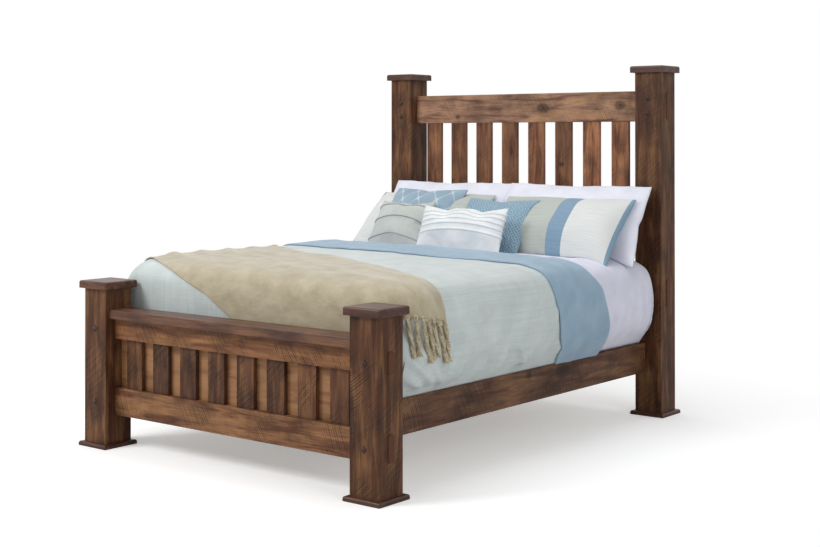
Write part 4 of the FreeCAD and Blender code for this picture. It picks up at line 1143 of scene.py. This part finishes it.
FLOOR_SIZE = 40.0
FLOOR_FADE = {"From Min": 1.4, "From Max": 2.6}
FLOOR_LIFT = 0.32
SURROUND_LIGHT = 0.42
WHITE = shade(1.0)
CAMERA_PLACE = (4.4832, -5.4645, 1.4475)
CAMERA_TURN_DEG = (90.49, 0.0, 38.51)
CAMERA_LENS_MM = 62.13
CAMERA_SHIFT = (-0.0088, -0.1806)

floor_mesh = bpy.data.meshes.new("floor")
with editing(floor_mesh) as edit:
    bmesh.ops.create_grid(edit, x_segments=1, y_segments=1, size=FLOOR_SIZE / 2)
floor = add_object("floor", floor_mesh)
white_floor, shader, add = new_material("white_floor")
set_sockets(shader, {"Base Color": linear("f2f2f2"), "Roughness": 0.9, "Specular IOR Level": 0.1})
from_middle = add("VectorMath", {0: add("TexCoord", take="Object")}, take="Value", operation="LENGTH")
fade = add("MapRange", {"Value": from_middle, **FLOOR_FADE})
seen = add("LightPath", take="Is Camera Ray")
lift = add("Emission", {"Color": WHITE, "Strength": FLOOR_LIFT})
near = add("AddShader", {0: shader.outputs[0], 1: lift})
far = add("Emission", {"Color": WHITE, "Strength": 1.0})
shown = add("MixShader", {0: fade, 1: near, 2: far})
set_sockets(white_floor.node_tree.nodes["Material Output"], {
    0: add("MixShader", {0: seen, 1: shader.outputs[0], 2: shown})})
floor_mesh.materials.append(white_floor)

surround = bpy.data.worlds.new("surround")
bpy.context.scene.world = surround
surround.use_nodes = True
light = surround.node_tree.nodes["Background"]
set_sockets(light, {"Color": WHITE, "Strength": SURROUND_LIGHT})
add = partial(add_node, surround.node_tree)
backdrop = add("Background", {"Color": WHITE, "Strength": 1.0})
rays = add("LightPath", take=None)
seen = add("Math", {0: rays["Is Camera Ray"], 1: rays["Is Glossy Ray"]}, operation="MAXIMUM")
set_sockets(surround.node_tree.nodes["World Output"], {
    0: add("MixShader", {0: seen, 1: light.outputs[0], 2: backdrop})})


def soft_lamp(name, place, target, size, power):
    """A square studio lamp that faces a point."""
    data = bpy.data.lights.new(name, "AREA")
    data.size = size
    data.energy = power
    lamp = add_object(name, data)
    lamp.location = place
    lamp.rotation_euler = (Vector(target) - Vector(place)).to_track_quat("-Z", "Y").to_euler()


soft_lamp("key_lamp", (-2.6, -5.2, 4.6), (0.0, 0.0, 0.6), 2.6, 235.0)
soft_lamp("fill_lamp", (5.5, -1.5, 2.6), (0.5, 0.0, 0.6), 2.4, 60.0)
soft_lamp("top_lamp", (0.0, 0.6, 5.0), (0.0, 0.0, 0.6), 3.0, 75.0)

camera_data = bpy.data.cameras.new("camera")
camera_data.sensor_width = 36.0
camera_data.lens = CAMERA_LENS_MM
camera_data.shift_x, camera_data.shift_y = CAMERA_SHIFT
camera = add_object("camera", camera_data)
camera.location = CAMERA_PLACE
camera.rotation_euler = [math.radians(a) for a in CAMERA_TURN_DEG]
bpy.context.scene.camera = camera
bpy.context.scene.view_settings.view_transform = "Standard"
